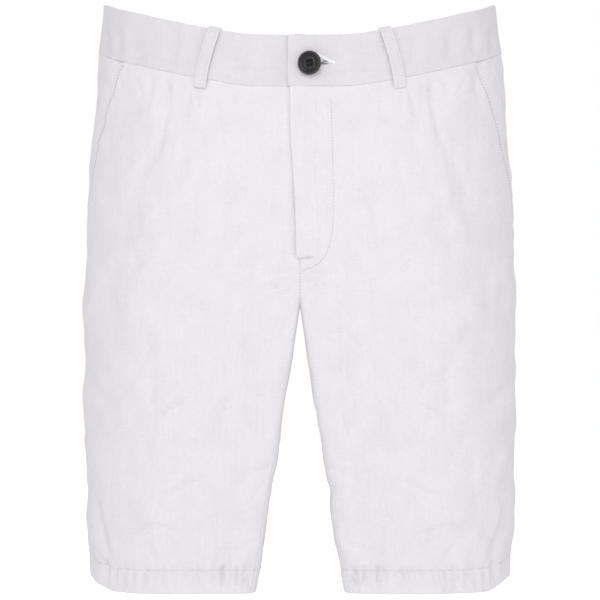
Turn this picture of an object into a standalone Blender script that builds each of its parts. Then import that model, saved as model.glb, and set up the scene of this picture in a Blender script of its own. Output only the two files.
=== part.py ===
"""Men's bermuda shorts, filled out as if worn: cloth walls round an open waist and two open legs.

Frame: +Z up, the front faces -Y, +X is the wearer's left. The origin is the centre of the waist opening,
halfway down the waistband at the sides. Sizes are in metres. Each piece is worked out on the wearer's left
half, as a height and a distance along that height's section, and mirrored for the right half.
"""

import math

import bmesh
import bpy
import numpy as np

QUARTER = 4.0 / 3.0 * (math.sqrt(2.0) - 1.0)
ARC_STEPS = 25
SLOPE_STEP = 0.001

# Cloth
WALL = 0.0012
BAND_WALL = 0.0018
HEM_WALL = 0.0022
SEAM_GAP = 0.0006
INSEAM_GAP = 0.0019
LAYER_GAP = 0.0004

# Heights at the side of the garment
WAIST_TOP = 0.0216
BAND_BOTTOM = -0.0215
HIP_LEVEL = -0.190
CROTCH_Z = -0.2435
HEM_Z = -0.4868
HEM_DEPTH = 0.0205
SIDE_STRIP = 0.150

# Waist and hem lines: how far they leave the level of the side
FRONT_DIP = 0.0380
BACK_DIP = 0.0150
HEM_SIDE_LIFT = 0.0078
HEM_INNER_LIFT = 0.0030
HEM_LIFT_HEIGHT = 0.090
HEM_SIDE_X = (0.10, 0.14)
HEM_SIDE_REACH = (0.25, 0.80)
HEM_INNER_X = (0.04, 0.07)
HEM_INNER_REACH = (0.0, 0.5)
BACK_DIP_POWER = 2.0

# Above the crotch the legs' inner sides would cross; each is cut at the centre: that is the rise seam.
# How fast they cross, and how far up the front and back stop following the legs and run flat.
CROSS_RATE = 0.14
CROSS_GROWTH = 4.0
FRONT_BEND = 0.035
BACK_BEND = 0.095
BACK_POWER = 3.0
CORNER_CROWDING = 0.65

# Fly, tab and underlap: distances across the centre front
FLY_EDGE_TOP = 0.0087
FLY_EDGE_LOW = 0.0034
FLY_END_Z = -0.202
FLY_CLOSED_Z = -0.206
FLY_LIFT = WALL + LAYER_GAP + 0.0003
FLY_LIFT_START = 0.001
FLY_LIFT_WIDTH = 0.010
FLY_LIFT_FADE = 0.014
FLY_WIDTH = 0.028
FLY_SECOND_COLUMN = 0.004
TAB_LAP = 0.0104
UNDERLAP = 0.030
TAB_LIFT = 0.0012
TAB_FALL = (0.032, 0.046)
TAB_COLUMNS = (-TAB_LAP, 0.0, 0.010, 0.020, UNDERLAP, TAB_FALL[1])
UNDERLAP_SINK = 0.0011
UNDERLAP_RISE = (0.012, 0.022)
UNDERLAP_COLUMNS = (-UNDERLAP, -0.020, -0.010, 0.0, TAB_LAP, UNDERLAP_RISE[1])
BAND_PROUD = 0.0005
SHIELD_EDGE = 0.0134
SHIELD_LAP = 0.014
SHIELD_END_Z = -0.192

# Pocket facing: how soon it rises from behind the mouth to the side seam, and how it ends below the mouth
FACING_FLAT = 0.001
FACING_RISE = 0.020
FACING_BELOW = 0.012
FACING_STRIP = 0.004
FACING_END_SINK = 0.0008

# Belt loops
LOOP_WIDTH = 0.0108
LOOP_WALL = 0.0014
LOOP_BELOW_SEAM = 0.0085
LOOP_GAP = 0.0007
LOOP_STANDS = 0.0026
FRONT_LOOP_S = 0.0838
FRONT_LOOP_LEAN = 0.21
BACK_LOOP_S = 0.300

# Button and its thread shank
BUTTON_RADIUS = 0.0101
BUTTON_THICK = 0.0034
BUTTON_HOLE_RADIUS = 0.0009
BUTTON_HOLE_OFFSET = 0.0018
BUTTON_X = 0.0082
BUTTON_Z = -0.0410
BUTTON_TURN = 18.0
SHANK_RADIUS = 0.0011
SHANK_HEAD_GAP = 0.0002
BUTTONHOLE_LENGTH = 0.0240
BUTTONHOLE_HALF = 0.0018
BUTTONHOLE_END = 0.03
CUTTER_REACH = 0.008
HOLE_REACH = 0.002

# The button's turned outline, from the middle of its back round the raised rim to the middle of the dish
BUTTON_COLUMNS = ("radius", "height")
BUTTON_PROFILE = (
    (0.0000, 0.0000),
    (0.0086, 0.0000),
    (0.0098, 0.0008),
    (0.0101, 0.0018),
    (0.0098, 0.0030),
    (0.0092, 0.0034),
    (0.0082, 0.0032),
    (0.0073, 0.0025),
    (0.0000, 0.0025),
)

# How finely the pieces are divided
UPPER_ROWS = 11
BEND_ROWS = 7
BAND_ROWS = 4
BAND_COLUMNS = 24
FRONT_MIDDLE_COLUMNS = 7
FRONT_SIDE_COLUMNS = 8
BACK_SIDE_COLUMNS = 7
BACK_COLUMNS = 9
END_CROWDING = 1.5
FACING_COLUMNS = 5
LEG_SHARES = (0.03, 0.09, 0.18, 0.32, 0.48, 0.65, 0.82, 0.995)

# Horizontal sections of the wearer's left half, from the waist down
RING_COLUMNS = (
    "z", "x_front", "y_front", "x_side", "y_side", "x_back", "y_back", "y_mid_front", "y_mid_back",
)
RINGS = (
    (0.0216, 0.034, -0.1105, 0.1717, 0.000, 0.034, 0.1105, -0.1105, 0.1105),
    (-0.0215, 0.036, -0.1140, 0.1767, 0.002, 0.038, 0.1150, -0.1140, 0.1145),
    (-0.0700, 0.045, -0.1190, 0.1814, 0.006, 0.052, 0.1270, -0.1185, 0.1250),
    (-0.1300, 0.060, -0.1210, 0.1856, 0.009, 0.070, 0.1370, -0.1195, 0.1320),
    (-0.1850, 0.075, -0.1195, 0.1880, 0.010, 0.082, 0.1400, -0.1165, 0.1320),
    (-0.2435, 0.092, -0.1140, 0.1898, 0.010, 0.094, 0.1300, -0.1090, 0.1180),
    (-0.3100, 0.101, -0.1060, 0.1894, 0.006, 0.102, 0.1120, -0.1010, 0.1000),
    (-0.3900, 0.107, -0.0950, 0.1880, 0.002, 0.108, 0.0970, -0.0900, 0.0900),
    (-0.4868, 0.111, -0.0825, 0.1848, 0.000, 0.111, 0.0840, -0.0800, 0.0800),
)

# The inner leg below the crotch: its innermost line, the power of the leg's inner front corner (2 is an
# ellipse, more is squarer), and how far in front of the innermost line the inseam runs
INNER_COLUMNS = ("z", "x_inner", "y_inner", "power", "seam_ahead")
INNER = (
    (-0.2435, 0.0000, -0.086, 10.0, 0.000),
    (-0.2620, 0.0027, -0.084, 10.0, 0.006),
    (-0.3100, 0.0098, -0.078, 9.0, 0.015),
    (-0.3900, 0.0222, -0.066, 7.0, 0.024),
    (-0.4868, 0.0372, -0.052, 5.0, 0.025),
)

# The waist's dip in front: share of the whole dip, against how near the centre front a point lies
DIP_COLUMNS = ("nearness", "share")
DIP = (
    (1.000, 1.000),
    (0.982, 0.997),
    (0.957, 0.965),
    (0.922, 0.885),
    (0.874, 0.798),
    (0.812, 0.693),
    (0.728, 0.572),
    (0.614, 0.428),
    (0.444, 0.268),
    (0.200, 0.076),
    (0.000, 0.000),
)

# The slant pocket mouth: distance from the side seam
MOUTH_COLUMNS = ("z", "from_side")
MOUTH = (
    (-0.0215, 0.0745),
    (-0.0450, 0.0670),
    (-0.0750, 0.0575),
    (-0.1050, 0.0465),
    (-0.1280, 0.0370),
    (-0.1500, 0.0200),
    (-0.1660, 0.0000),
)

# The largest folds on each half: a trough from its upper to its lower end
FOLD_COLUMNS = ("face", "x_top", "z_top", "x_low", "z_low", "half_width", "depth")
FOLDS = (
    ("front", 0.115, -0.055, 0.124, -0.130, 0.011, 0.0016),
    ("front", 0.186, -0.300, 0.176, -0.345, 0.016, 0.0020),
    ("front", 0.072, -0.380, 0.066, -0.492, 0.014, 0.0030),
    ("front", 0.176, -0.405, 0.163, -0.470, 0.010, 0.0018),
    ("back", 0.040, -0.205, 0.130, -0.245, 0.018, 0.0050),
    ("back", 0.060, -0.270, 0.140, -0.292, 0.016, 0.0030),
    ("back", 0.090, -0.350, 0.084, -0.492, 0.016, 0.0030),
)

# A belt loop's path up the band: height and distance out of its inner and its outer skin
LOOP_COLUMNS = ("z_near", "near", "z_far", "far")
LOOP_PATH = (
    (BAND_BOTTOM - LOOP_BELOW_SEAM, LOOP_GAP, BAND_BOTTOM - LOOP_BELOW_SEAM, LOOP_GAP + LOOP_WALL),
    (BAND_BOTTOM - 0.003, BAND_PROUD + LOOP_GAP, BAND_BOTTOM - 0.003, BAND_PROUD + LOOP_GAP + LOOP_WALL),
    (BAND_BOTTOM + 0.008, LOOP_STANDS, BAND_BOTTOM + 0.008, LOOP_STANDS + LOOP_WALL),
    (WAIST_TOP - 0.013, LOOP_STANDS, WAIST_TOP - 0.013, LOOP_STANDS + LOOP_WALL),
    (WAIST_TOP - 0.003, BAND_PROUD + 0.0012, WAIST_TOP - 0.002, BAND_PROUD + 0.0012 + LOOP_WALL),
    (WAIST_TOP + LOOP_GAP, BAND_PROUD + 0.0002, WAIST_TOP + LOOP_GAP + LOOP_WALL, BAND_PROUD + 0.0008),
    (WAIST_TOP + LOOP_GAP, BAND_PROUD - 0.0013, WAIST_TOP + LOOP_GAP + LOOP_WALL, BAND_PROUD - 0.0013),
)

LINEN = (0.823, 0.804, 0.838)
BUTTON_COLOUR = (0.034, 0.033, 0.034)
THREAD_COLOUR = (0.52, 0.52, 0.60)


def ramp(value, start, end):
    """Smooth step from 0 at start to 1 at end."""
    t = np.clip((value - start) / (end - start), 0.0, 1.0)
    return t * t * (3.0 - 2.0 * t)


def read_column(table, columns, name, z):
    """Monotone cubic through one column of a table whose rows run downwards."""
    rows = np.array(table)
    depth, values = -rows[:, 0], rows[:, columns.index(name)]
    step = np.diff(depth)
    slope = np.diff(values) / step
    early, late = 2 * step[1:] + step[:-1], step[1:] + 2 * step[:-1]
    turns = slope[:-1] * slope[1:] <= 0
    first, last = np.where(turns, 1.0, slope[:-1]), np.where(turns, 1.0, slope[1:])
    inner = np.where(turns, 0.0, (early + late) / (early / first + late / last))
    tangent = np.concatenate([slope[:1], inner, slope[-1:]])
    at = np.clip(-np.asarray(z, float), depth[0], depth[-1])
    k = np.clip(np.searchsorted(depth, at, side="right") - 1, 0, len(step) - 1)
    t = (at - depth[k]) / step[k]
    rise = t * t * (3 - 2 * t)
    lean = t * (1 - t) ** 2 * tangent[k] + t * t * (t - 1) * tangent[k + 1]
    return values[k] + rise * (values[k + 1] - values[k]) + step[k] * lean


def arc(start, start_pull, end_pull, end, t):
    """Cubic Bezier for every row of points, its handles given as pulls from its ends, at each row's t."""
    first, last = start + start_pull, end + end_pull
    a, b, c, d = (p[:, None, :] for p in (start, first, last, end))
    t = t[:, :, None]
    return (1 - t) ** 3 * a + 3 * (1 - t) ** 2 * t * b + 3 * (1 - t) * t * t * c + t**3 * d


def corner(inner, far, t, power):
    """Quarter round with |u|^power + |v|^power = 1, from inner, left along y, to far, reached along x."""
    power = power[:, None]
    crowding = CORNER_CROWDING * (1 - 2 / power)
    b = 2 * t - 1
    turn = math.pi / 4 * (1 + (1 - crowding) * b + crowding * b**3)
    u, v = np.maximum(np.cos(turn), 0.0), np.maximum(np.sin(turn), 0.0)
    size = (u**power + v**power) ** (-1 / power)
    x = far[:, :1] + (inner[:, :1] - far[:, :1]) * size * u
    y = inner[:, 1:] + (far[:, 1:] - inner[:, 1:]) * size * v
    return np.stack([x, y], axis=2)


def inner_arc(inner, far, mid_y, flat, power):
    """Plan line from the rise seam or the leg's innermost line out to the foremost or rearmost point.

    It is the leg's quarter round, cut off at the centre, and where flat nears 1 an almost straight line.
    """
    steps = np.tile(np.linspace(0.0, 1.0, ARC_STEPS), (len(inner), 1))
    nil = np.zeros(len(inner))
    whole = corner(inner, far, steps, power)
    cut = [np.interp(SEAM_GAP / 2, whole[i, :, 0], steps[i]) for i in range(len(inner))]
    cut = np.array(cut)[:, None]
    rounded = corner(inner, far, cut + (1 - cut) * steps, power)
    middle = np.stack([rounded[:, 0, 0], mid_y], 1)
    reach = np.stack([QUARTER * (far[:, 0] - middle[:, 0]), nil], 1)
    flattened = arc(middle, reach, -reach, far, steps)
    return rounded + flat[:, None, None] * (flattened - rounded)


def outer_arc(start, end, x_first):
    """Quarter ellipse from the side to the foremost or rearmost point; x_first leaves its start along x."""
    steps = np.tile(np.linspace(0.0, 1.0, ARC_STEPS), (len(start), 1))
    nil = np.zeros(len(start))
    along_x = np.stack([QUARTER * (end[:, 0] - start[:, 0]), nil], 1)
    along_y = np.stack([nil, QUARTER * (end[:, 1] - start[:, 1])], 1)
    pulls = (along_x, -along_y) if x_first else (along_y, -along_x)
    return arc(start, *pulls, end, steps)


def sections(z):
    """Plan lines of the left half at each height: seam to side in front, and side to seam behind."""
    ring = {name: read_column(RINGS, RING_COLUMNS, name, z) for name in RING_COLUMNS}
    leg = {name: read_column(INNER, INNER_COLUMNS, name, z) for name in INNER_COLUMNS}
    up = np.maximum(z - CROTCH_Z, 0.0)
    x_inner = SEAM_GAP / 2 + leg["x_inner"] - CROSS_RATE * up - CROSS_GROWTH * up**2
    inner = np.stack([x_inner, leg["y_inner"]], 1)
    foremost = np.stack([ring["x_front"], ring["y_front"]], 1)
    side = np.stack([ring["x_side"], ring["y_side"]], 1)
    rearmost = np.stack([ring["x_back"], ring["y_back"]], 1)
    to_front = inner_arc(inner, foremost, ring["y_mid_front"], ramp(up, 0.0, FRONT_BEND), leg["power"])
    power = np.full(len(z), BACK_POWER)
    to_back = inner_arc(inner, rearmost, ring["y_mid_back"], ramp(up, 0.0, BACK_BEND), power)
    front = np.concatenate([to_front, outer_arc(foremost, side, True)[:, 1:]], axis=1)
    back = np.concatenate([outer_arc(side, rearmost, False), to_back[:, -2::-1]], axis=1)
    return front, back


def run_lengths(line):
    """Distance along each row's line, from 0 at its first point."""
    steps = np.linalg.norm(np.diff(line, axis=1), axis=2)
    return np.concatenate([np.zeros((len(line), 1)), np.cumsum(steps, axis=1)], axis=1)


def heights(z, x, y):
    """Height of each point: its side level, less the dip of the waist, plus the lift of the hem."""
    level = z[:, None]
    ring = {name: read_column(RINGS, RING_COLUMNS, name, z)[:, None] for name in RING_COLUMNS}
    nearness = np.sqrt(np.clip(1 - (x / ring["x_side"]) ** 2, 0.0, 1.0))
    forward = ring["y_side"] - y
    in_front = FRONT_DIP * read_column(DIP, DIP_COLUMNS, "share", nearness)
    dip = np.where(forward > 0, in_front, BACK_DIP * nearness**BACK_DIP_POWER)
    high = 1 - ramp(-level, -BAND_BOTTOM, -HIP_LEVEL)
    to_front, to_back = ring["y_side"] - ring["y_front"], ring["y_back"] - ring["y_side"]
    reach = np.where(forward > 0, forward / to_front, -forward / to_back)
    outer = ramp(x, *HEM_SIDE_X) * (1 - ramp(reach, *HEM_SIDE_REACH))
    inner = (1 - ramp(x, *HEM_INNER_X)) * (1 - ramp(reach, *HEM_INNER_REACH))
    low = ramp(-level, -HEM_Z - HEM_LIFT_HEIGHT, -HEM_Z)
    return level - high * dip + low * (HEM_SIDE_LIFT * outer + HEM_INNER_LIFT * inner)


def fold_depth(face, x, z):
    """How far the largest folds press the cloth in at each point of one face."""
    depth = np.zeros_like(x)
    for row in FOLDS:
        fold = dict(zip(FOLD_COLUMNS, row))
        if fold["face"] != face:
            continue
        run_x, run_z = fold["x_low"] - fold["x_top"], fold["z_low"] - fold["z_top"]
        length = math.hypot(run_x, run_z)
        along = ((x - fold["x_top"]) * run_x + (z - fold["z_top"]) * run_z) / length**2
        aside = ((x - fold["x_top"]) * run_z - (z - fold["z_top"]) * run_x) / length
        past = np.maximum(np.maximum(-along, along - 1.0), 0.0) * length
        spread = (aside**2 + past**2) / fold["half_width"] ** 2
        depth += fold["depth"] * np.exp(-spread)
    return depth


def follow(z, s):
    """Plan position and plan normal at side level z and distance s round the section."""
    front, back = sections(z)
    line = np.concatenate([front, back[:, 1:], front[:, 1:ARC_STEPS]], axis=1)
    run = run_lengths(line)
    ahead = np.gradient(line, axis=1)
    on_leg = (z < CROTCH_Z)[:, None]
    ahead[:, -ARC_STEPS] = np.where(on_leg, ahead[:, -ARC_STEPS], ahead[:, -ARC_STEPS - 1])
    ahead /= np.linalg.norm(ahead, axis=2, keepdims=True)

    def along(values):
        return np.stack([np.interp(s[i], run[i], values[i]) for i in range(len(z))])

    return along(line[:, :, 0]), along(line[:, :, 1]), along(ahead[:, :, 1]), -along(ahead[:, :, 0])


def foremost_length(z):
    """Distance from where the section starts to its foremost point."""
    return run_lengths(sections(z)[0])[:, ARC_STEPS - 1:ARC_STEPS]


def place(z, s, out=0.0):
    """Points at side level z and distance s round the section, moved out along the surface's normal.

    s starts at the centre front or, on a leg, at the innermost line, and runs over the front, the side and
    the back; on a leg it may go round past its start. A negative s lies across the centre front.
    """
    x, y, normal_x, normal_y = follow(z, np.abs(s))
    from_foremost = np.abs(s) - foremost_length(z)
    x_above, y_above = follow(z + SLOPE_STEP, from_foremost + foremost_length(z + SLOPE_STEP))[:2]
    x_below, y_below = follow(z - SLOPE_STEP, from_foremost + foremost_length(z - SLOPE_STEP))[:2]
    slope = ((x_above - x_below) * normal_x + (y_above - y_below) * normal_y) / (2 * SLOPE_STEP)
    tilt = np.sqrt(1 + slope**2)
    height = heights(z, x, y)
    side_y = read_column(RINGS, RING_COLUMNS, "y_side", z)[:, None]
    own_side = np.where(s < 0, 0.0, 1.0)
    folded = np.where(y < side_y, fold_depth("front", x, height), fold_depth("back", x, height))
    pressed = folded * own_side
    moved = (out - pressed) / tilt
    x = np.maximum(x + moved * normal_x, SEAM_GAP / 2)
    return np.stack([np.where(s < 0, -x, x), y + moved * normal_y, height - moved * slope], axis=2)


def seam_start(z):
    """Distance from the centre front, or from the leg's innermost line, to where the front panel starts."""
    return read_column(INNER, INNER_COLUMNS, "seam_ahead", z)


def front_length(z):
    """Distance from the centre front, or from the leg's innermost line, to the side seam."""
    return run_lengths(sections(z)[0])[:, -1]


def whole_length(z):
    """Distance from there round to the centre back, or to the innermost line again."""
    return front_length(z) + run_lengths(sections(z)[1])[:, -1]


def plain_material(name, colour, roughness):
    material = bpy.data.materials.new(name)
    material.use_nodes = True
    shader = material.node_tree.nodes["Principled BSDF"]
    shader.inputs["Base Color"].default_value = (*colour, 1.0)
    shader.inputs["Roughness"].default_value = roughness
    shader.inputs["Metallic"].default_value = 0.0
    return material


def add_object(name, mesh, material):
    mesh.materials.append(material)
    mesh.shade_smooth()
    mesh.set_sharp_from_angle(angle=math.radians(40))
    piece = bpy.data.objects.new(name, mesh)
    bpy.context.scene.collection.objects.link(piece)
    return piece


def cloth(name, points, material, wall, mirrored=False, thick_rows=0):
    """Sheet through a grid of points, rows down and columns across, thickened inwards to a closed wall."""
    rows, columns = points.shape[:2]
    spots = points.reshape(-1, 3) * (-1.0 if mirrored else 1.0, 1.0, 1.0)
    i, j = np.meshgrid(np.arange(rows - 1), np.arange(columns - 1), indexing="ij")
    corner = (i * columns + j).ravel()
    quads = np.stack([corner, corner + columns, corner + columns + 1, corner + 1], axis=1)
    if mirrored:
        quads = quads[:, ::-1]
    mesh = bpy.data.meshes.new(name)
    mesh.from_pydata(spots.tolist(), [], quads.tolist())
    piece = add_object(name, mesh, material)
    solidify = piece.modifiers.new("wall", "SOLIDIFY")
    solidify.thickness = HEM_WALL if thick_rows else wall
    solidify.offset = -1.0
    if thick_rows:
        hem = piece.vertex_groups.new(name="hem")
        hem.add(list(range((rows - thick_rows) * columns, rows * columns)), 1.0, "REPLACE")
        solidify.vertex_group = "hem"
        solidify.thickness_vertex_group = wall / HEM_WALL
    return piece


def panel_levels():
    """Side levels of a panel's rows: closer together where the rise seam bends and at the hem."""
    bend = 1 - np.sin(np.linspace(0.0, math.pi / 2, BEND_ROWS)[1:])
    return np.concatenate([
        np.linspace(BAND_BOTTOM - SEAM_GAP, FLY_END_Z, UPPER_ROWS),
        [FLY_CLOSED_Z],
        CROTCH_Z + (FLY_CLOSED_Z - CROTCH_Z) * bend,
        CROTCH_Z + (HEM_Z + HEM_DEPTH - CROTCH_Z) * np.array(LEG_SHARES),
        [HEM_Z + HEM_DEPTH, HEM_Z],
    ])


def mouth_distance(z):
    return read_column(MOUTH, MOUTH_COLUMNS, "from_side", z)


def front_columns(z):
    """Distances of a front panel's columns: two by the fly, some in the middle, even ones near the mouth."""
    start, side = seam_start(z), front_length(z)
    outer = side - np.maximum(mouth_distance(z), SEAM_GAP / 2)
    near = start[:, None] + np.array([0.0, FLY_LIFT_WIDTH, FLY_WIDTH])
    shoulder = side - SIDE_STRIP
    share = np.linspace(0.0, 1.0, FRONT_MIDDLE_COLUMNS)[None, 1:]
    middle = near[:, -1:] + (shoulder - near[:, -1])[:, None] * share
    share = np.linspace(0.0, 1.0, FRONT_SIDE_COLUMNS)[None, 1:]
    rest = shoulder[:, None] + (outer - shoulder)[:, None] * share
    return np.concatenate([near, middle, rest], axis=1)


def front_panel(material, mirrored):
    """Front panel; the wearer's left one runs on past the centre front to the fly edge, over the right."""
    z = panel_levels()
    s = front_columns(z)
    if mirrored:
        return cloth("front_right", place(z, s), material, WALL, mirrored, thick_rows=2)
    low = ramp(-z, -BAND_BOTTOM, -FLY_END_Z)
    edge = FLY_EDGE_TOP + (FLY_EDGE_LOW - FLY_EDGE_TOP) * low
    s[:, 0] = np.where(z > FLY_CLOSED_Z, -edge, seam_start(z))
    second = np.where(z > FLY_CLOSED_Z, SEAM_GAP, seam_start(z) + FLY_SECOND_COLUMN)
    s = np.insert(s, 1, second, axis=1)
    closed = 1 - ramp(-z, -FLY_CLOSED_Z, -FLY_CLOSED_Z + FLY_LIFT_FADE)
    lift = FLY_LIFT * (1 - ramp(s, FLY_LIFT_START, FLY_LIFT_WIDTH)) * closed[:, None]
    return cloth("front_left", place(z, s, lift), material, WALL, mirrored, thick_rows=2)


def back_panel(material, mirrored):
    """Back panel, from the side seam round to the centre back and, below the crotch, the inseam."""
    z = panel_levels()
    start = front_length(z) + SEAM_GAP / 2
    end = whole_length(z) + seam_start(z) - INSEAM_GAP * ramp(-z, -CROTCH_Z - 0.010, -CROTCH_Z)
    shoulder = start + SIDE_STRIP
    strip = start[:, None] + SIDE_STRIP * np.linspace(0.0, 1.0, BACK_SIDE_COLUMNS)[None, :-1]
    share = 1 - (1 - np.linspace(0.0, 1.0, BACK_COLUMNS)) ** END_CROWDING
    rest = shoulder[:, None] + (end - shoulder)[:, None] * share[None, :]
    s = np.concatenate([strip, rest], axis=1)
    name = "back_right" if mirrored else "back_left"
    return cloth(name, place(z, s), material, WALL, mirrored, thick_rows=2)


def waistband(material, mirrored):
    """Waistband half; the left one ends in the tab, the right one in the underlap behind it."""
    z = np.linspace(WAIST_TOP, BAND_BOTTOM, BAND_ROWS)
    length = whole_length(z)
    if mirrored:
        near = np.array(UNDERLAP_COLUMNS)
        out = BAND_PROUD - UNDERLAP_SINK * (1 - ramp(near, *UNDERLAP_RISE))
    else:
        near = np.array(TAB_COLUMNS)
        out = BAND_PROUD + TAB_LIFT * (1 - ramp(near, *TAB_FALL))
    share = np.linspace(0.0, 1.0, BAND_COLUMNS)[None, 1:]
    rest = near[-1] + (length - near[-1])[:, None] * share
    s = np.concatenate([np.tile(near, (len(z), 1)), rest], axis=1)
    out = np.concatenate([out, np.full(rest.shape[1], BAND_PROUD)])[None, :]
    name = "waistband_right" if mirrored else "waistband_left"
    return cloth(name, place(z, s, out), material, BAND_WALL, mirrored)


def fly_shield(material):
    """Strip behind the fly, from under the right front across to the ridge it makes in the left front."""
    levels = panel_levels()
    z = levels[levels > SHIELD_END_Z]
    half = [-SHIELD_LAP, -FLY_LIFT_WIDTH, -SEAM_GAP, SEAM_GAP, FLY_LIFT_WIDTH, SHIELD_EDGE]
    s = np.tile(half, (len(z), 1))
    return cloth("fly_shield", place(z, s, -WALL - 2 * LAYER_GAP), material, WALL)


def pocket_facing(material, mirrored):
    """Hip piece behind the slant mouth: one column in under the front panel, then out to the side seam."""
    levels = panel_levels()
    z = levels[levels > MOUTH[-1][0] - FACING_BELOW]
    under = front_columns(z)[:, -2:]
    mouth, side = mouth_distance(z), front_length(z) - SEAM_GAP / 2
    under[:, 1] = np.minimum(under[:, 1], side - FACING_STRIP)
    share = np.linspace(0.0, 1.0, FACING_COLUMNS)[None, 1:]
    rest = under[:, 1:] + (side - under[:, 1])[:, None] * share
    s = np.concatenate([under, rest], axis=1)
    past_mouth = s - (side - mouth)[:, None]
    behind = WALL + LAYER_GAP + np.where(mouth > 0, 0.0, FACING_END_SINK)
    sink = behind[:, None] * (1 - ramp(past_mouth, FACING_FLAT, FACING_RISE))
    name = "pocket_facing_right" if mirrored else "pocket_facing_left"
    return cloth(name, place(z, s, -sink), material, WALL, mirrored)


def closed_body(name, points, faces, material):
    """Object from points and faces that close round one body, its faces turned out."""
    mesh = bpy.data.meshes.new(name)
    mesh.from_pydata(points.tolist(), [], [list(face) for face in faces])
    body = bmesh.new()
    body.from_mesh(mesh)
    bmesh.ops.recalc_face_normals(body, faces=body.faces)
    body.to_mesh(mesh)
    body.free()
    return add_object(name, mesh, material)


def swept_strip(name, rings, material):
    """Body through closed rings of points, one ring for each step across a strip's width."""
    count, around = rings.shape[:2]
    half = around // 2
    faces = []
    for i in range(count - 1):
        for j in range(around):
            low, high = i * around + j, i * around + (j + 1) % around
            faces.append((low, high, high + around, low + around))
    for start in (0, (count - 1) * around):
        for j in range(half - 1):
            faces.append((start + j, start + j + 1, start + around - 2 - j, start + around - 1 - j))
    return closed_body(name, rings.reshape(-1, 3), faces, material)


def belt_loop(name, material, s_seam, lean=0.0, mirrored=False):
    """Strip from below the waistband seam, out over the band and just over its top edge.

    s_seam is its middle's distance from the centre front at the seam; none puts it on the centre back.
    """
    loop = {column: np.array([row[k] for row in LOOP_PATH]) for k, column in enumerate(LOOP_COLUMNS)}
    level = np.concatenate([loop["z_near"], loop["z_far"][::-1]])
    out = np.concatenate([loop["near"], loop["far"][::-1]])[:, None]
    half = LOOP_WIDTH / 2
    if s_seam is None:
        back = whole_length(level)[:, None]
        left = place(level, back - half, out)[:, 0]
        middle = place(level, back, out)[:, 0] * (0.0, 1.0, 1.0)
        rings = np.stack([left * (-1.0, 1.0, 1.0), middle, left])
        return swept_strip(name, rings, material)
    middle = s_seam - lean * (level - BAND_BOTTOM)
    s = np.stack([middle - half, middle, middle + half], axis=1)
    rings = place(level, s, out).transpose(1, 0, 2) * (-1.0 if mirrored else 1.0, 1.0, 1.0)
    return swept_strip(name, rings, material)


def turned(name, profile, material, steps=32):
    """Body turned round Z from a profile of (radius, height) whose first and last points lie on the axis."""
    turn = np.linspace(0.0, 2 * math.pi, steps, endpoint=False)
    rim = np.array(profile[1:-1])
    x = rim[:, :1] * np.cos(turn)[None, :]
    y = rim[:, :1] * np.sin(turn)[None, :]
    z = np.broadcast_to(rim[:, 1:], x.shape)
    around = np.stack([x, y, z], axis=2).reshape(-1, 3)
    points = np.concatenate([[(0.0, 0.0, profile[0][1])], around, [(0.0, 0.0, profile[-1][1])]])
    faces = []
    for j in range(steps):
        beside = (j + 1) % steps
        faces.append((0, 1 + j, 1 + beside))
        last = 1 + (len(rim) - 1) * steps
        faces.append((last + steps, last + beside, last + j))
        for i in range(len(rim) - 1):
            row = 1 + i * steps
            faces.append((row + j, row + steps + j, row + steps + beside, row + beside))
    return closed_body(name, points, faces, material)


def cut_with(piece, cutter):
    """Cut one body out of another; the cutter stays in the scene as a hidden guide."""
    cutter.hide_render = True
    cutter.display_type = "WIRE"
    cut = piece.modifiers.new(cutter.name, "BOOLEAN")
    cut.operation = "DIFFERENCE"
    cut.object = cutter


def front_spot(x, height, out):
    """Point on the front at a distance from the centre front and a height there, moved out."""
    return place(np.array([height + FRONT_DIP]), np.array([[x]]), out)[0, 0]


def buttonhole_cutter(material):
    """Lens-shaped prism through the tab, high at the shank and closing away from the edge."""
    spot = front_spot(BUTTON_X, BUTTON_Z, 0.0)
    share = np.linspace(0.0, 1.0, 7)
    half = BUTTONHOLE_HALF * np.sqrt(np.clip(1 - share**2, BUTTONHOLE_END, 1.0))
    x = spot[0] - 2 * SHANK_RADIUS + BUTTONHOLE_LENGTH * share
    upper, lower = spot[2] + half, spot[2] - half
    rings = []
    for y in (spot[1] - CUTTER_REACH, spot[1] + CUTTER_REACH):
        top = np.stack([x, 0 * x + y, upper], axis=1)
        bottom = np.stack([x, 0 * x + y, lower], axis=1)[::-1]
        rings.append(np.concatenate([top, bottom]))
    return swept_strip("buttonhole", np.array(rings), material)


def button(material):
    """Round button with a raised rim, a dished face and four holes, turned a little on its shank."""
    piece = turned("button", BUTTON_PROFILE, material)
    low, high = -HOLE_REACH, BUTTON_THICK + HOLE_REACH
    hole_profile = ((0.0, low), (BUTTON_HOLE_RADIUS, low), (BUTTON_HOLE_RADIUS, high), (0.0, high))
    for k in range(4):
        turn = math.pi / 4 + k * math.pi / 2
        hole = turned(f"button_hole_{k + 1}", hole_profile, material, steps=10)
        hole.location = (BUTTON_HOLE_OFFSET * math.cos(turn), BUTTON_HOLE_OFFSET * math.sin(turn), 0.0)
        hole.parent = piece
        cut_with(piece, hole)
    edge_drop = BUTTON_RADIUS * math.sin(math.radians(BUTTON_TURN))
    piece.location = front_spot(BUTTON_X, BUTTON_Z, BAND_PROUD + TAB_LIFT + LAYER_GAP + edge_drop)
    piece.rotation_euler = (math.pi / 2, 0.0, -math.radians(BUTTON_TURN))
    return edge_drop


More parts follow.
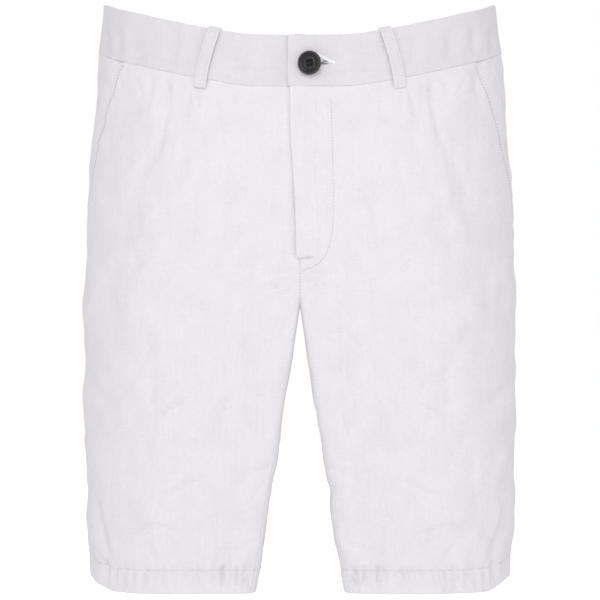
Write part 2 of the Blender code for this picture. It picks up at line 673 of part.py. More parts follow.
def button_shank(material, edge_drop):
    """Thread shank from the underlap, through the buttonhole, to the back of the button."""
    foot = BAND_PROUD - UNDERLAP_SINK + LAYER_GAP
    head = BAND_PROUD + TAB_LIFT + edge_drop - SHANK_HEAD_GAP
    length = head - foot
    profile = ((0.0, 0.0), (SHANK_RADIUS, 0.0), (SHANK_RADIUS, length), (0.0, length))
    piece = turned("button_shank", profile, material, steps=12)
    piece.location = front_spot(BUTTON_X, BUTTON_Z, foot)
    piece.rotation_euler = (math.pi / 2, 0.0, 0.0)


def main():
    for item in list(bpy.data.objects):
        bpy.data.objects.remove(item)
    linen = plain_material("linen", LINEN, 0.9)
    plastic = plain_material("button_plastic", BUTTON_COLOUR, 0.35)
    thread = plain_material("thread", THREAD_COLOUR, 0.8)
    for mirrored in (False, True):
        hand = "right" if mirrored else "left"
        front_panel(linen, mirrored)
        back_panel(linen, mirrored)
        pocket_facing(linen, mirrored)
        band = waistband(linen, mirrored)
        if not mirrored:
            cut_with(band, buttonhole_cutter(linen))
        belt_loop(f"belt_loop_front_{hand}", linen, FRONT_LOOP_S, FRONT_LOOP_LEAN, mirrored)
        belt_loop(f"belt_loop_back_{hand}", linen, BACK_LOOP_S, 0.0, mirrored)
    belt_loop("belt_loop_back_centre", linen, None)
    fly_shield(linen)
    edge_drop = button(plastic)
    button_shank(thread, edge_drop)


main()
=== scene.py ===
"""Looks of a pair of men's linen bermuda shorts, filled out as if worn.

Every cloth piece is a thin closed shell worked out on the same plan lines as its solid: a side level and a
distance round the section give a point, which is then moved along the surface's normal by creases, rolled
edges and stitched grooves. Sizes are in metres; the front faces -Y and +X is the wearer's left.
"""

import math

import bmesh
import bpy
import numpy as np
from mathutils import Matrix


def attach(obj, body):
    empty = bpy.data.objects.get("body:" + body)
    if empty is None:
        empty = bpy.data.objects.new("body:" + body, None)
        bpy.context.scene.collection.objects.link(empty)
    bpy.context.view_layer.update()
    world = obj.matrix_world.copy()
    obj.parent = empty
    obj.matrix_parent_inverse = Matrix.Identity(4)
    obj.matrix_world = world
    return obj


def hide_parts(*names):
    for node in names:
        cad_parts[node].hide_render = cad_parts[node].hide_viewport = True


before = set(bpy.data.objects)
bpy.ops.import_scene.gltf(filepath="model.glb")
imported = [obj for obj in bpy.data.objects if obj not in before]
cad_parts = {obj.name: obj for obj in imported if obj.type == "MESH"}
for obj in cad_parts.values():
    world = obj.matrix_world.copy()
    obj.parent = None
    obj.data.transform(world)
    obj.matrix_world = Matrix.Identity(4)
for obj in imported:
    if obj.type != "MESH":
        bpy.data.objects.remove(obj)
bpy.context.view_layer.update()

# The half of the wearer that a hand of 1 or -1 stands for
SIDES = {1.0: "left", -1.0: "right"}

# Handle length of a quarter round, points on one, and the reach over which slopes are read
QUARTER = 4.0 / 3.0 * (math.sqrt(2.0) - 1.0)
ARC_STEPS = 73
SLOPE_STEP = 0.001

# Cloth
WALL = 0.0012
BAND_WALL = 0.0018
HEM_WALL = 0.0022
SEAM_GAP = 0.0001
LAYER_GAP = 0.0004

# Heights at the side of the garment
WAIST_TOP = 0.0216
BAND_BOTTOM = -0.0215
HIP_LEVEL = -0.190
CROTCH_Z = -0.2435
HEM_Z = -0.4868
HEM_DEPTH = 0.0205

# Waist and hem lines
FRONT_DIP = 0.0380
BACK_DIP = 0.0150
HEM_SIDE_LIFT = 0.0078
HEM_INNER_LIFT = 0.0030

# The legs' inner sides cross above the crotch and are cut at the centre
CROSS_RATE = 0.14
CROSS_GROWTH = 4.0
FRONT_BEND = 0.035
BACK_BEND = 0.095
BACK_POWER = 3.0
CORNER_CROWDING = 0.65

# Heights over the crotch between which a panel's columns go over from upright to the section's own distances
FRONT_UPRIGHT = (0.006, 0.028)
BACK_UPRIGHT = (0.020, 0.110)

# Fly, tab and underlap
FLY_EDGE_TOP = 0.0087
FLY_EDGE_LOW = 0.0034
FLY_END_Z = -0.202
FLY_CLOSED_Z = -0.206
FLY_LIFT = 0.0019
FLY_LIFT_WIDTH = 0.010
TAB_LAP = 0.0104
UNDERLAP = 0.030
TAB_LIFT = 0.0012
TAB_CORNER = 0.0030
UNDERLAP_SINK = 0.0011
BAND_PROUD = 0.0005
SHIELD_EDGE = 0.0134
SHIELD_LAP = 0.014
SHIELD_END_Z = -0.192
FACING_RISE = 0.020

# Belt loops
LOOP_WIDTH = 0.0108
LOOP_WALL = 0.0014
LOOP_GAPE = 0.0004
FRONT_LOOP_S = 0.0782
FRONT_LOOP_LEAN = 0.27
FRONT_LOOP_BOW = 2.2
BACK_LOOP_S = 0.300

# Buttonhole: where it starts and ends, half its gape, and how far above and below the band parts round it
SLIT_START = 0.0060
SLIT_END = 0.0240
SLIT_OPEN = 0.0006
SLIT_REACH = 0.010

# Button
BUTTON_RADIUS = 0.0101
BUTTON_X = 0.0082
BUTTON_Z = -0.0410
BUTTON_TURN = math.radians(18.0)

# Rolled edges and stitched grooves
ROLL = 0.0010
FLY_ROLL = 0.0007
BAND_LOW_ROLL = 0.0005
BAND_END_ROLL = 0.0006
THINNEST = 0.0001
TUCK = 0.0016
TUCKED_UP = 0.0035
STITCH_GROOVE = 0.00035
DRAWN_UP = 0.00003
GROOVE_HALF = 0.0012
MOUTH_GROOVE = 0.0004
FLY_GROOVE = 0.00032
NARROW_HALF = 0.0009
RISE_GROOVE = 0.00016
RISE_GROOVE_HALF = 0.0006

# Rows of stitches: pitch, length and thickness of a stitch; and the length of the painted shade at a needle
# hole
HEM_STITCH = (0.0027, 0.0021, 0.00046)
MOUTH_STITCH = (0.0027, 0.0021, 0.0006)
SEAM_STITCH = (0.0027, 0.0021, 0.0004)
DITCH_STITCH = (0.0024, 0.0017, 0.00036)
LOOP_STITCH = (0.0019, 0.0013, 0.00034)
HOLE_LONG = 0.00085
MOUTH_STITCH_END_Z = -0.158
SEAM_STITCH_Z = -0.2125

# Thickness of the threads on the button and in its hole, of the fly's bar and of the buttonhole's lips
HOLE_THREAD_THICK = 0.00055
SLIT_THREAD_THICK = 0.00075
BAR_THICK = 0.0009
UPPER_LIP_THICK = 0.0026
LOWER_LIP_THICK = 0.0013


def metres(table, plain=()):
    """A table whose lengths are in millimetres, turned into metres but for the plain columns."""
    return tuple(tuple(v if k in plain else v / 1000 for k, v in enumerate(row)) for row in table)


# Tables inside metres() are written in millimetres. First the horizontal sections of the wearer's left half
RING_COLUMNS = (
    "z", "x_front", "y_front", "x_side", "y_side", "x_back", "y_back", "y_mid_front", "y_mid_back",
)
RINGS = metres((
    (21.6, 34, -110.5, 171.7, 0, 34, 110.5, -110.5, 110.5), (-21.5, 36, -114, 176.7, 2, 38, 115, -114, 114.5),
    (-70, 45, -119, 181.4, 6, 52, 127, -118.5, 125), (-130, 60, -121, 185.6, 9, 70, 137, -119.5, 132),
    (-185, 75, -119.5, 188, 10, 82, 140, -116.5, 132), (-243.5, 92, -114, 189.8, 10, 94, 130, -109, 118),
    (-310, 101, -106, 189.4, 6, 102, 112, -101, 100), (-390, 107, -95, 188, 2, 108, 97, -90, 90),
    (-486.8, 111, -82.5, 184.8, 0, 111, 84, -80, 80),
))
# The innermost line of a leg, how square its inner corner is, and how far ahead of it the inseam lies
INNER_COLUMNS = ("z", "x_inner", "y_inner", "power", "seam_ahead")
INNER = metres((
    (-243.5, 0, -86, 10, 0), (-262, 2.7, -84, 10, 6), (-310, 9.8, -78, 9, 15), (-390, 22.2, -66, 7, 24),
    (-486.8, 37.2, -52, 5, 25),
), plain=(3,))

# The waist's dip in front: share of the dip against how far across the front a point lies
DIP_COLUMNS = ("across", "share")
DIP = (
    (1.000, 1.000), (0.982, 0.997), (0.957, 0.965), (0.922, 0.885), (0.874, 0.798), (0.812, 0.693),
    (0.728, 0.572), (0.614, 0.428), (0.444, 0.268), (0.200, 0.076), (0.000, 0.000),
)
# How far the slant pocket's mouth lies ahead of the side seam
MOUTH_COLUMNS = ("z", "from_side")
MOUTH = metres((
    (-21.5, 74.5), (-45, 67), (-75, 57.5), (-105, 46.5), (-128, 37), (-150, 20), (-166, 0),
))

# Creases, each a soft trough from one end to the other with a low ridge on both sides; x is the garment's own,
# so that the two halves differ. bow bends it sideways, and a negative depth is a ridge with troughs beside it.
CREASE_COLUMNS = ("x_top", "z_top", "x_low", "z_low", "bow", "half_width", "depth")
FRONT_CREASES = metres((
    # below the waistband, wearer's right
    (-112.5, -52, -119.5, -114, -2, 4.6, 3), (-93, -60, -94.5, -78, 0, 2.8, 1.8),
    (-138.5, -48, -133, -64, 0, 2.6, 1.8), (-103, -54, -105, -70, 1, 3, -1.4),
    (-122, -110, -145, -172, 3, 7.5, 2.2), (-70, -64, -67, -96, 1, 3.6, 1.4),
    # below the waistband, wearer's left
    (111.5, -51, 119, -108, 2, 4.4, 2.6), (92, -60, 95.5, -82, 0, 3, 1.9), (139, -48, 133.5, -62, 0, 2.6, 1.5),
    (123, -106, 144, -166, -3, 8, 2.2), (68, -66, 70, -90, 0, 3.4, 1.1),
    # seat and fly
    (-48, -120, -50, -165, 2, 8, 2.2), (50, -125, 48.5, -160, 2, 9, 1.9), (-8, -214, -30, -219, 1, 3, 1.5),
    (8, -214, 24, -219, -1, 3, 1.8), (-3, -222, -23, -226, 1.5, 2.8, 1.9), (3, -222, 26, -227, -1.5, 2.8, 1.9),
    (-3, -230, -30, -244, 2, 4, 1.8), (3, -230, 33, -243, -2, 4, 1.8), (-52, -205, -62, -232, -2, 8, 2.2),
    # thighs
    (-82, -245, -118, -249, 2, 12.5, 3.4), (80, -247, 120, -250, -1.5, 12.5, 3.2),
    (-158, -212, -164, -244, 1, 9, 2.6), (160, -214, 162, -248, 1, 8, 2.6),
    (-124, -298, -123.5, -336, 0.5, 3, 1.9), (-124, -338, -96, -322, 1, 3.4, 2.2),
    (123, -296, 124.5, -334, -0.5, 3, 1.8), (125, -338, 98, -324, -1, 3.4, 2.2),
    (-186, -302, -156, -330, 2, 8.5, 2), (186, -300, 157, -330, -2, 8.5, 2),
    # lower legs
    (-83, -388, -113, -404, 1, 4, 2.4), (84, -389, 112, -405, -1, 4, 2.4),
    (-146, -438, -124, -427, 0, 3.2, 2.2), (-124, -427, -101, -434, 0, 3.2, 1.8),
    (145, -437, 124, -427, 0, 3.4, 1.9), (124, -427, 102, -435, 0, 3, 1.9),
    (-129, -444, -121, -457, 0, 2.8, 1.9), (129, -445, 121.5, -456, 0, 2.8, 1.8),
    (-65, -404, -64, -480, 1.5, 7, 3), (65, -404, 64.5, -480, -1.5, 7, 2.8), (-25, -378, -50, -387, -1, 5, 1.4),
    (25, -379, 48, -387, 1, 5, 1.4), (-38, -441, -59, -451, -1, 4.4, 1.2), (38, -441, 59, -451, 1, 4.4, 1.2),
    (-176, -406, -163, -458, 2, 5, 3), (176, -408, 164, -458, -2, 5, 3),
    # short gathers under the waistband
    (-151, -47, -150, -60, 0.4, 2, 0.9), (-124.5, -50, -125, -68, -0.4, 2.2, 1.1),
    (-103.5, -54, -103, -71, 0.4, 2.1, 1.1), (-86.2, -60, -84.8, -82, 0.6, 2.4, 1.1),
    (-70.3, -60, -70, -75, 0, 1.8, 0.8), (-56, -60, -56.6, -81, 0.4, 2.4, 1.1),
    (-41.2, -62, -40.5, -75, 0, 2.2, 0.8), (-29, -62, -29.7, -73, 0, 2, 0.8),
    (43.7, -60, 44.2, -73, 0, 2.2, 0.8), (57.2, -59, 56.6, -80, -0.4, 2.3, 1.1),
    (70.6, -58, 71.2, -74, 0, 2, 0.9), (85, -58, 84.2, -83, -0.6, 2.4, 1.2), (103, -54, 103.6, -69, 0, 2, 0.9),
    (123.6, -50, 124, -70, 0.4, 2.2, 1.1), (150.5, -47, 149.2, -61, 0, 2, 0.9),
    # short folds from the crotch down the inner thighs
    (-31.2, -256, -49.5, -281, 1.2, 3.5, 1.6), (-27.9, -275, -41.2, -309, 1.4, 3, 1.4),
    (-42.8, -271, -61.2, -303, 1, 3.6, 1.5), (-49.5, -309, -52.8, -346, 1, 4, 1.5),
    (-62, -321, -64.5, -367, 1.4, 5, 1.8), (-33, -318, -39, -360, -1, 3.6, 1.4),
    (31.6, -258, 49, -283, -1.2, 3.6, 1.6), (28.5, -278, 42.5, -312, -1.4, 3, 1.4),
    (44, -269, 60.5, -299, -1, 3.4, 1.5), (50.5, -306, 53, -342, -1, 4.2, 1.5),
    (61.2, -325, 65, -371, -1.4, 4.8, 1.6), (33.6, -322, 40, -357, 1, 3.4, 1.4),
))
# Soft waves along the waistband
BAND_CREASES = metres((
    (-168.5, -4, -168, -30, 0, 5.5, 2.5), (-155, -7, -153.5, -29, 0, 4.4, 1.9),
    (-140, -5, -135, -38, 0.6, 7.5, 1.9), (-106, -10, -107.7, -40, 0, 6.5, 1.9),
    (-70.3, -37, -41.2, -39, 0.8, 3.9, 1.9), (-64.5, -44, -14, -42, -0.8, 3.6, 1.8),
    (-49.5, -26, -13, -28, 0.8, 5.2, 1.5), (-64, -51, -30, -53, 0, 3.1, 1.3), (40, -30, 69, -27, 0.8, 4.7, 1.8),
    (34, -45, 64, -43, -0.8, 3.9, 1.8), (96, -12, 97.5, -42, 0.6, 6.5, 1.9), (129, -8, 127, -36, 0, 6.8, 1.9),
    (148, -4, 149, -28, 0.4, 4.7, 2.1), (166, -2, 166.8, -28, 0, 5.2, 2.5),
))
BACK_CREASES = metres((
    (-40, -205, -130, -245, 4, 12, 4.1), (40, -207, 132, -243, -4, 13, 4.1),
    (-60, -270, -140, -292, 4, 10, 2.9), (58, -268, 138, -294, -4, 11, 3.1), (-50, -160, -90, -205, 5, 10, 1.9),
    (52, -165, 88, -200, -5, 10, 1.7), (-90, -350, -84, -470, 3, 12, 2.9), (90, -352, 85, -470, -3, 12, 2.6),
    (-130, -330, -102, -345, 1, 6, 1.7), (132, -326, 104, -346, -1, 6, 1.7), (-124, -60, -129, -110, 2, 6, 1.4),
    (126, -62, 130, -104, -2, 6, 1.4), (-68, -45, -72, -88, 1, 5, 1.2), (70, -45, 74, -82, 1, 5, 1.2),
    (-186, -304, -150, -330, 3, 9, 1.9), (186, -300, 152, -332, -3, 9, 1.9),
    (-140, -420, -115, -436, 1, 5, 1.4), (140, -424, 118, -436, -1, 5, 1.4),
))

# Crumpling: length of the waves, their height, how many are added up, and how much taller than wide they are;
# then the length of the slow waves that make them come and go
CRUMPLES = (
    (0.085, 0.00080, 6, 1.0), (0.038, 0.00070, 9, 1.5), (0.019, 0.00045, 12, 1.8), (0.0095, 0.00014, 14, 2.2),
)
SWELL = 0.075

# Puckers that the hem stitching draws in: place across, half width, depth and how they lean
PUCKER_COLUMNS = ("x", "half_width", "depth", "lean")
FRONT_PUCKERS = metres((
    (-170, 2.2, 5.3, 0.1), (-166, 2.4, 4.8, 0), (-158.5, 2, 2, 0.05), (-152, 2.8, 3.5, 0.1),
    (-142, 2.4, 1.9, 0), (-135, 3.6, 3.2, 0.15), (-124, 2.8, 1.9, 0.05), (-116.5, 3.6, 3, 0),
    (-105, 3, 2, 0.05), (-98, 3.8, 3.2, 0.1), (-85, 3.2, 3.2, -0.1), (-72.5, 2.6, 3, 0), (-65.5, 2.4, 4.2, 0),
    (-59, 2.2, 2, 0), (-53, 2.3, 3.7, 0), (-47.8, 2, 3.7, 0.05), (-43.2, 1.9, 2.7, 0), (170.5, 2.2, 4.8, -0.1),
    (165.5, 2.4, 5.3, 0), (158, 2.2, 2.3, 0), (151, 3, 3.2, -0.1), (143, 2.4, 2, 0), (134.5, 3.8, 3, -0.15),
    (123.5, 2.8, 2, 0), (115, 3.6, 3.2, 0), (106, 3, 1.9, -0.05), (98.5, 3.6, 3, -0.1), (86, 3.2, 3.5, 0.1),
    (72, 2.6, 3, 0), (66, 2.4, 3.9, 0), (59.2, 2.2, 2, 0), (53.5, 2.3, 3.7, 0), (48.2, 2, 3.5, -0.05),
    (43.5, 1.9, 3, 0),
), plain=(3,))
BACK_PUCKERS = metres((
    (-169, 2, 2, 0), (-152, 2.6, 1.5, 0.1), (-131, 3, 1.4, 0), (-112, 2.6, 1.5, -0.1), (-90, 3, 1.1, 0.1),
    (-70, 2.2, 1.8, 0), (-52, 1.8, 2.2, 0), (170, 2, 2, 0), (150, 2.6, 1.4, -0.1), (133, 3, 1.5, 0),
    (109, 2.6, 1.4, 0.1), (92, 3, 1.4, -0.1), (71, 2.2, 1.8, 0), (51, 1.8, 2.2, 0),
), plain=(3,))

# The edge of the fly's inner facing as it shows through: height and distance from the centre front; its lift
FACING_LIFT = 0.0009
FACING_EDGE = metres((
    (-64, 13.4), (-82, 13), (-95, 11.7), (-121.5, 12.7), (-148.2, 13.4), (-168.1, 14.6), (-181.4, 15.8),
    (-194.7, 14.7), (-206, 14.1),
))

# The bar across the fly's lower end: distance and height
FLY_BAR = ((-0.0024, -0.2030), (0.0040, -0.2021), (0.0112, -0.2013))

# The topstitching beside the rise seam below the fly, on the wearer's right: height and distance
RISE_STITCH = ((-0.1990, 0.0034), (-0.2030, 0.0030), (-0.2080, 0.0021), (-0.2260, 0.0020), (-0.2400, 0.0014))

# The fly's J-shaped stitch line: distance from the centre front, and height
FLY_STITCH = metres((
    (25.8, -60), (25.8, -65.8), (26.7, -108.2), (27.7, -148.1), (27.9, -161.5), (26.8, -181.4), (23.6, -196.4),
    (18.2, -205.6), (11.4, -209.7), (2.1, -212.8),
))

# The button's outline (radius, height off its back), its holes, the threads that show in the buttonhole and the
# buttonhole's two satin lips (distance, height, how far off the band)
BUTTON_PROFILE = metres((
    (0.3, 0), (8.8, 0), (9.65, 0.4), (10.08, 1.2), (10.1, 2), (9.92, 2.75), (9.55, 3.3), (9.1, 3.5),
    (8.68, 3.35), (8.32, 2.8), (7.9, 2.25), (7, 2), (5.2, 1.96), (4.7, 2.15), (4.4, 2.26), (4.12, 2.12),
    (3.8, 1.6), (3.4, 1.42), (2, 1.4), (0.3, 1.4),
))
BUTTON_HOLE = 0.00110
BUTTON_FACE = 0.0012
BUTTON_PIT = 0.0011
BUTTON_HOLE_OFFSET = 0.0021
SLIT_THREADS = (
    ((0.0150, -0.0381, -0.0009), (0.0180, -0.0386, -0.0004), (0.0232, -0.0392, 0.0001)),
    ((0.0152, -0.0412, -0.0009), (0.0175, -0.0404, -0.0004), (0.0205, -0.0394, 0.0000)),
    ((0.0160, -0.0398, -0.0010), (0.0190, -0.0399, -0.0006), (0.0212, -0.0400, -0.0003)),
)
UPPER_LIP = metres((
    (12.8, -32.2, 0.1), (16.5, -34.5, 0.3), (21, -36.8, 0.3), (25.5, -38.8, 0.3), (29.7, -41.1, 0.2),
))
LOWER_LIP = metres((
    (14, -44.6, 0), (18, -43.8, 0.1), (23, -42.8, 0.1), (28.8, -41.5, 0),
))

# A belt loop's middle line up the band: side level, and distance out
LOOP_PATH = metres((
    (-28.2, 1.1), (-29.8, 1.2), (-30, 1.5), (-29, 1.8), (-26.2, 1.9), (-21.5, 2.1), (-13, 2.4), (0, 2.6),
    (9, 2.6), (16, 2.4), (20, 2), (22.2, 1.2), (22.8, 0.3), (22.7, -1),
))

# Colours
LINEN = (0.823, 0.804, 0.838)
# The band's linen is made darker than the body's: painted shade
BAND_PAINTED_SHADE = 0.935
WEAVE_BUMP = 0.0001
THREAD_COLOUR = (0.075, 0.090, 0.140)

# The button's plastic from its holes and middle out to its rim: share of the radius, and twice its colour.
# The black at the holes is painted shade; the blue-grey ring at 0.43 and the brown ring at 0.89 are painted
# highlights
BUTTON_COLOURS_AND_PAINTED_LIGHT = (
    (0.00, (0.001, 0.001, 0.001)), (0.03, (0.024, 0.024, 0.026)), (0.37, (0.024, 0.024, 0.026)),
    (0.43, (0.115, 0.128, 0.170)), (0.49, (0.030, 0.030, 0.032)), (0.78, (0.032, 0.031, 0.032)),
    (0.89, (0.175, 0.145, 0.130)), (0.96, (0.040, 0.037, 0.036)),
)

# Lamps: name, place, size and power, all turned to a height on the garment; the floor; the camera
LAMPS = (
    ("key_softbox", (-0.30, -2.2, 0.80), 1.2, 14.6),
    ("left_softbox", (-2.1, -1.5, 0.1), 1.2, 2.2),
    ("right_softbox", (2.1, -1.5, 0.1), 1.2, 5.0),
)
LIT_HEIGHT = -0.24
FLOOR_HALF = 6.0
FLOOR_Z = -0.72
SENSOR = 36.0
CAMERA_AWAY = 2.1
CAMERA_HEIGHT = -0.23756
VIEW_WIDTH = 0.528


def ramp(value, start, end):
    """Smooth step: 0 up to start, 3tt - 2ttt between, 1 from end on."""
    t = np.clip((value - start) / (end - start), 0.0, 1.0)
    return t * t * (3.0 - 2.0 * t)


def fall(value, start, end):
    """Smooth step down: 1 up to start, 0 from end on."""
    return 1 - ramp(value, start, end)


def unit(vectors):
    """Vectors of length 1."""
    return vectors / np.linalg.norm(vectors, axis=-1, keepdims=True)


def read_column(table, columns, name, z):
    """Monotone cubic through one column of a table whose rows run downwards."""
    rows = np.array(table)
    depth, values = -rows[:, 0], rows[:, columns.index(name)]
    step = np.diff(depth)
    slope = np.diff(values) / step
    early, late = 2 * step[1:] + step[:-1], step[1:] + 2 * step[:-1]
    turns = slope[:-1] * slope[1:] <= 0
    first, last = np.where(turns, 1.0, slope[:-1]), np.where(turns, 1.0, slope[1:])
    inner = np.where(turns, 0.0, (early + late) / (early / first + late / last))
    tangent = np.concatenate([slope[:1], inner, slope[-1:]])
    at = np.clip(-np.asarray(z, float), depth[0], depth[-1])
    k = np.clip(np.searchsorted(depth, at, side="right") - 1, 0, len(step) - 1)
    t = (at - depth[k]) / step[k]
    rise = t * t * (3 - 2 * t)
    lean = t * (1 - t) ** 2 * tangent[k] + t * t * (t - 1) * tangent[k + 1]
    return values[k] + rise * (values[k + 1] - values[k]) + step[k] * lean


def ring_at(name, z):
    """One measure of the horizontal sections at each level."""
    return read_column(RINGS, RING_COLUMNS, name, z)


def read_rows(run, values, at):
    """Straight-line interpolation of every row's values at its own places, all rows at once."""
    rows, count = run.shape
    offset = (run.max() - run.min() + 1.0) * np.arange(rows)[:, None]
    flat = (run + offset).ravel()
    places = np.clip(at, run[:, :1], run[:, -1:]) + offset
    k = np.searchsorted(flat, places.ravel(), side="right").reshape(places.shape) - 1
    first = count * np.arange(rows)[:, None]
    k = np.clip(k, first, first + count - 2)
    span = np.maximum(flat[k + 1] - flat[k], 1e-12)
    t = (places - flat[k]) / span
    column = values.ravel()
    return column[k] + t * (column[k + 1] - column[k])


def arc(start, start_pull, end_pull, end, t):
    """Cubic Bezier for every row of points, its handles given as pulls from its ends."""
    first, last = start + start_pull, end + end_pull
    a, b, c, d = (p[:, None, :] for p in (start, first, last, end))
    t = t[:, :, None]
    return (1 - t) ** 3 * a + 3 * (1 - t) ** 2 * t * b + 3 * (1 - t) * t * t * c + t**3 * d


def corner(inner, far, t, power):
    """Quarter round |u|^power + |v|^power = 1 from inner, left along y, to far.

    Its points are drawn to the corner.
    """
    power = power[:, None]
    crowding = CORNER_CROWDING * (1 - 2 / power)
    b = 2 * t - 1
    turn = math.pi / 4 * (1 + (1 - crowding) * b + crowding * b**3)
    u, v = np.maximum(np.cos(turn), 0.0), np.maximum(np.sin(turn), 0.0)
    size = (u**power + v**power) ** (-1 / power)
    x = far[:, :1] + (inner[:, :1] - far[:, :1]) * size * u
    y = inner[:, 1:] + (far[:, 1:] - inner[:, 1:]) * size * v
    return np.stack([x, y], axis=2)


def inner_arc(inner, far, mid_y, flat, power):
    """Leg's quarter round cut off at the centre, going over to an almost straight line where flat nears 1."""
    steps = np.tile(np.linspace(0.0, 1.0, ARC_STEPS), (len(inner), 1))
    nil = np.zeros(len(inner))
    whole = corner(inner, far, steps, power)
    cut = read_rows(whole[:, :, 0], steps, np.full((len(inner), 1), SEAM_GAP / 2))
    rounded = corner(inner, far, cut + (1 - cut) * steps, power)
    middle = np.stack([rounded[:, 0, 0], mid_y], 1)
    reach = np.stack([QUARTER * (far[:, 0] - middle[:, 0]), nil], 1)
    return rounded + flat[:, None, None] * (arc(middle, reach, -reach, far, steps) - rounded)


def outer_arc(start, end, x_first):
    """Quarter ellipse between the side and the foremost or rearmost point."""
    steps = np.tile(np.linspace(0.0, 1.0, ARC_STEPS), (len(start), 1))
    nil = np.zeros(len(start))
    along_x = np.stack([QUARTER * (end[:, 0] - start[:, 0]), nil], 1)
    along_y = np.stack([nil, QUARTER * (end[:, 1] - start[:, 1])], 1)
    pulls = (along_x, -along_y) if x_first else (along_y, -along_x)
    return arc(start, *pulls, end, steps)


def sections(z):
    """Plan lines of the left half at each level: seam to side over the front, side to seam over the back."""
    ring = {name: ring_at(name, z) for name in RING_COLUMNS}
    leg = {name: read_column(INNER, INNER_COLUMNS, name, z) for name in INNER_COLUMNS}
    up = np.maximum(z - CROTCH_Z, 0.0)
    x_inner = SEAM_GAP / 2 + leg["x_inner"] - CROSS_RATE * up - CROSS_GROWTH * up**2
    inner = np.stack([x_inner, leg["y_inner"]], 1)
    foremost = np.stack([ring["x_front"], ring["y_front"]], 1)
    side = np.stack([ring["x_side"], ring["y_side"]], 1)
    rearmost = np.stack([ring["x_back"], ring["y_back"]], 1)
    to_front = inner_arc(inner, foremost, ring["y_mid_front"], ramp(up, 0.0, FRONT_BEND), leg["power"])
    power = np.full(len(z), BACK_POWER)
    to_back = inner_arc(inner, rearmost, ring["y_mid_back"], ramp(up, 0.0, BACK_BEND), power)
    front = np.concatenate([to_front, outer_arc(foremost, side, True)[:, 1:]], axis=1)
    back = np.concatenate([outer_arc(side, rearmost, False), to_back[:, -2::-1]], axis=1)
    return front, back


def run_lengths(line):
    """Distance along each row's line, from 0 at its first point."""
    steps = np.linalg.norm(np.diff(line, axis=1), axis=2)
    return np.concatenate([np.zeros((len(line), 1)), np.cumsum(steps, axis=1)], axis=1)


def path_run(path):
    """Distance run at each point of one path."""
    return run_lengths(path[None])[0]


def along_run(at, run, values):
    """Each column of the values, read at the given distances run."""
    return np.stack([np.interp(at, run, values[:, k]) for k in range(values.shape[1])], axis=1)


def heights(z, x, y):
    """Height of each point: its side level, less the dip of the waist, plus the lift of the hem."""
    level = z[:, None]
    ring = {name: ring_at(name, z)[:, None] for name in RING_COLUMNS}
    across = np.sqrt(np.clip(1 - (x / ring["x_side"]) ** 2, 0.0, 1.0))
    forward = ring["y_side"] - y
    front_dip = FRONT_DIP * read_column(DIP, DIP_COLUMNS, "share", across)
    dip = np.where(forward > 0, front_dip, BACK_DIP * across**2.0)
    high = fall(-level, -BAND_BOTTOM, -HIP_LEVEL)
    to_front, to_back = ring["y_side"] - ring["y_front"], ring["y_back"] - ring["y_side"]
    reach = np.where(forward > 0, forward / to_front, -forward / to_back)
    outer = ramp(x, 0.10, 0.14) * fall(reach, 0.25, 0.80)
    inner = fall(x, 0.04, 0.07) * fall(reach, 0.0, 0.5)
    low = ramp(-level, -HEM_Z - 0.09, -HEM_Z)
    return level - high * dip + low * (HEM_SIDE_LIFT * outer + HEM_INNER_LIFT * inner)


def crease_depth(table, x, z):
    """Sum of the creases: depth (1 - 0.6 qq) exp(-qq), q being the distance aside over the half width.

    Each fades at both ends.
    """
    total = np.zeros_like(x)
    for row in table:
        crease = dict(zip(CREASE_COLUMNS, row))
        run_x, run_z = crease["x_low"] - crease["x_top"], crease["z_low"] - crease["z_top"]
        length = math.hypot(run_x, run_z)
        along = ((x - crease["x_top"]) * run_x + (z - crease["z_top"]) * run_z) / length**2
        aside = ((x - crease["x_top"]) * run_z - (z - crease["z_top"]) * run_x) / length
        aside = aside - crease["bow"] * 4 * along * (1 - along)
        q = aside / crease["half_width"]
        ends = ramp(along, -0.20, 0.30) * fall(along, 0.70, 1.20)
        total += crease["depth"] * ends * (1 - 0.6 * q * q) * np.exp(-q * q)
    return total


def pucker_depth(table, x, z, level):
    """Hem puckers: narrow troughs across the hem, deepest at the stitching, fading above it and at the fold."""
    above = level - (HEM_Z + HEM_DEPTH)
    strength = fall(above, -0.002, 0.008) * (0.2 + 0.8 * ramp(level, HEM_Z, HEM_Z + 0.012))
    total = np.zeros_like(x)
    for row in table:
        pucker = dict(zip(PUCKER_COLUMNS, row))
        q = (x - pucker["x"] - pucker["lean"] * (z - HEM_Z)) / pucker["half_width"]
        total += pucker["depth"] * (1 - 0.5 * q * q) * np.exp(-q * q)
    return total * strength


def crumple(x, z, seed):
    """Unevenness of worn linen, in metres: long swells and ever shorter crinkles, taller than wide, added up.

    Each is a sine of its own length and direction; slow sines make the short ones come and go over the cloth.
    """
    pick = np.random.default_rng(seed)
    total = np.zeros_like(x)
    for length, size, count, tall in CRUMPLES:
        part, strength = np.zeros_like(x), np.zeros_like(x)
        for angle, phase, stretch in pick.uniform(0.0, 1.0, (count, 3)):
            wave = 2 * math.pi / (length * (0.75 + 0.5 * stretch))
            turn = math.pi * angle
            part += np.sin(wave * (x * math.cos(turn) + z * math.sin(turn) / tall) + 2 * math.pi * phase)
        for angle, phase, stretch in pick.uniform(0.0, 1.0, (4, 3)):
            wave = 2 * math.pi / (SWELL * (0.7 + 0.6 * stretch))
            turn = 2 * math.pi * angle
            strength += np.sin(wave * (x * math.cos(turn) + z * math.sin(turn)) + 2 * math.pi * phase)
        total += size * part / math.sqrt(count) * np.clip(0.9 + 0.35 * strength, 0.15, 2.0)
    return total


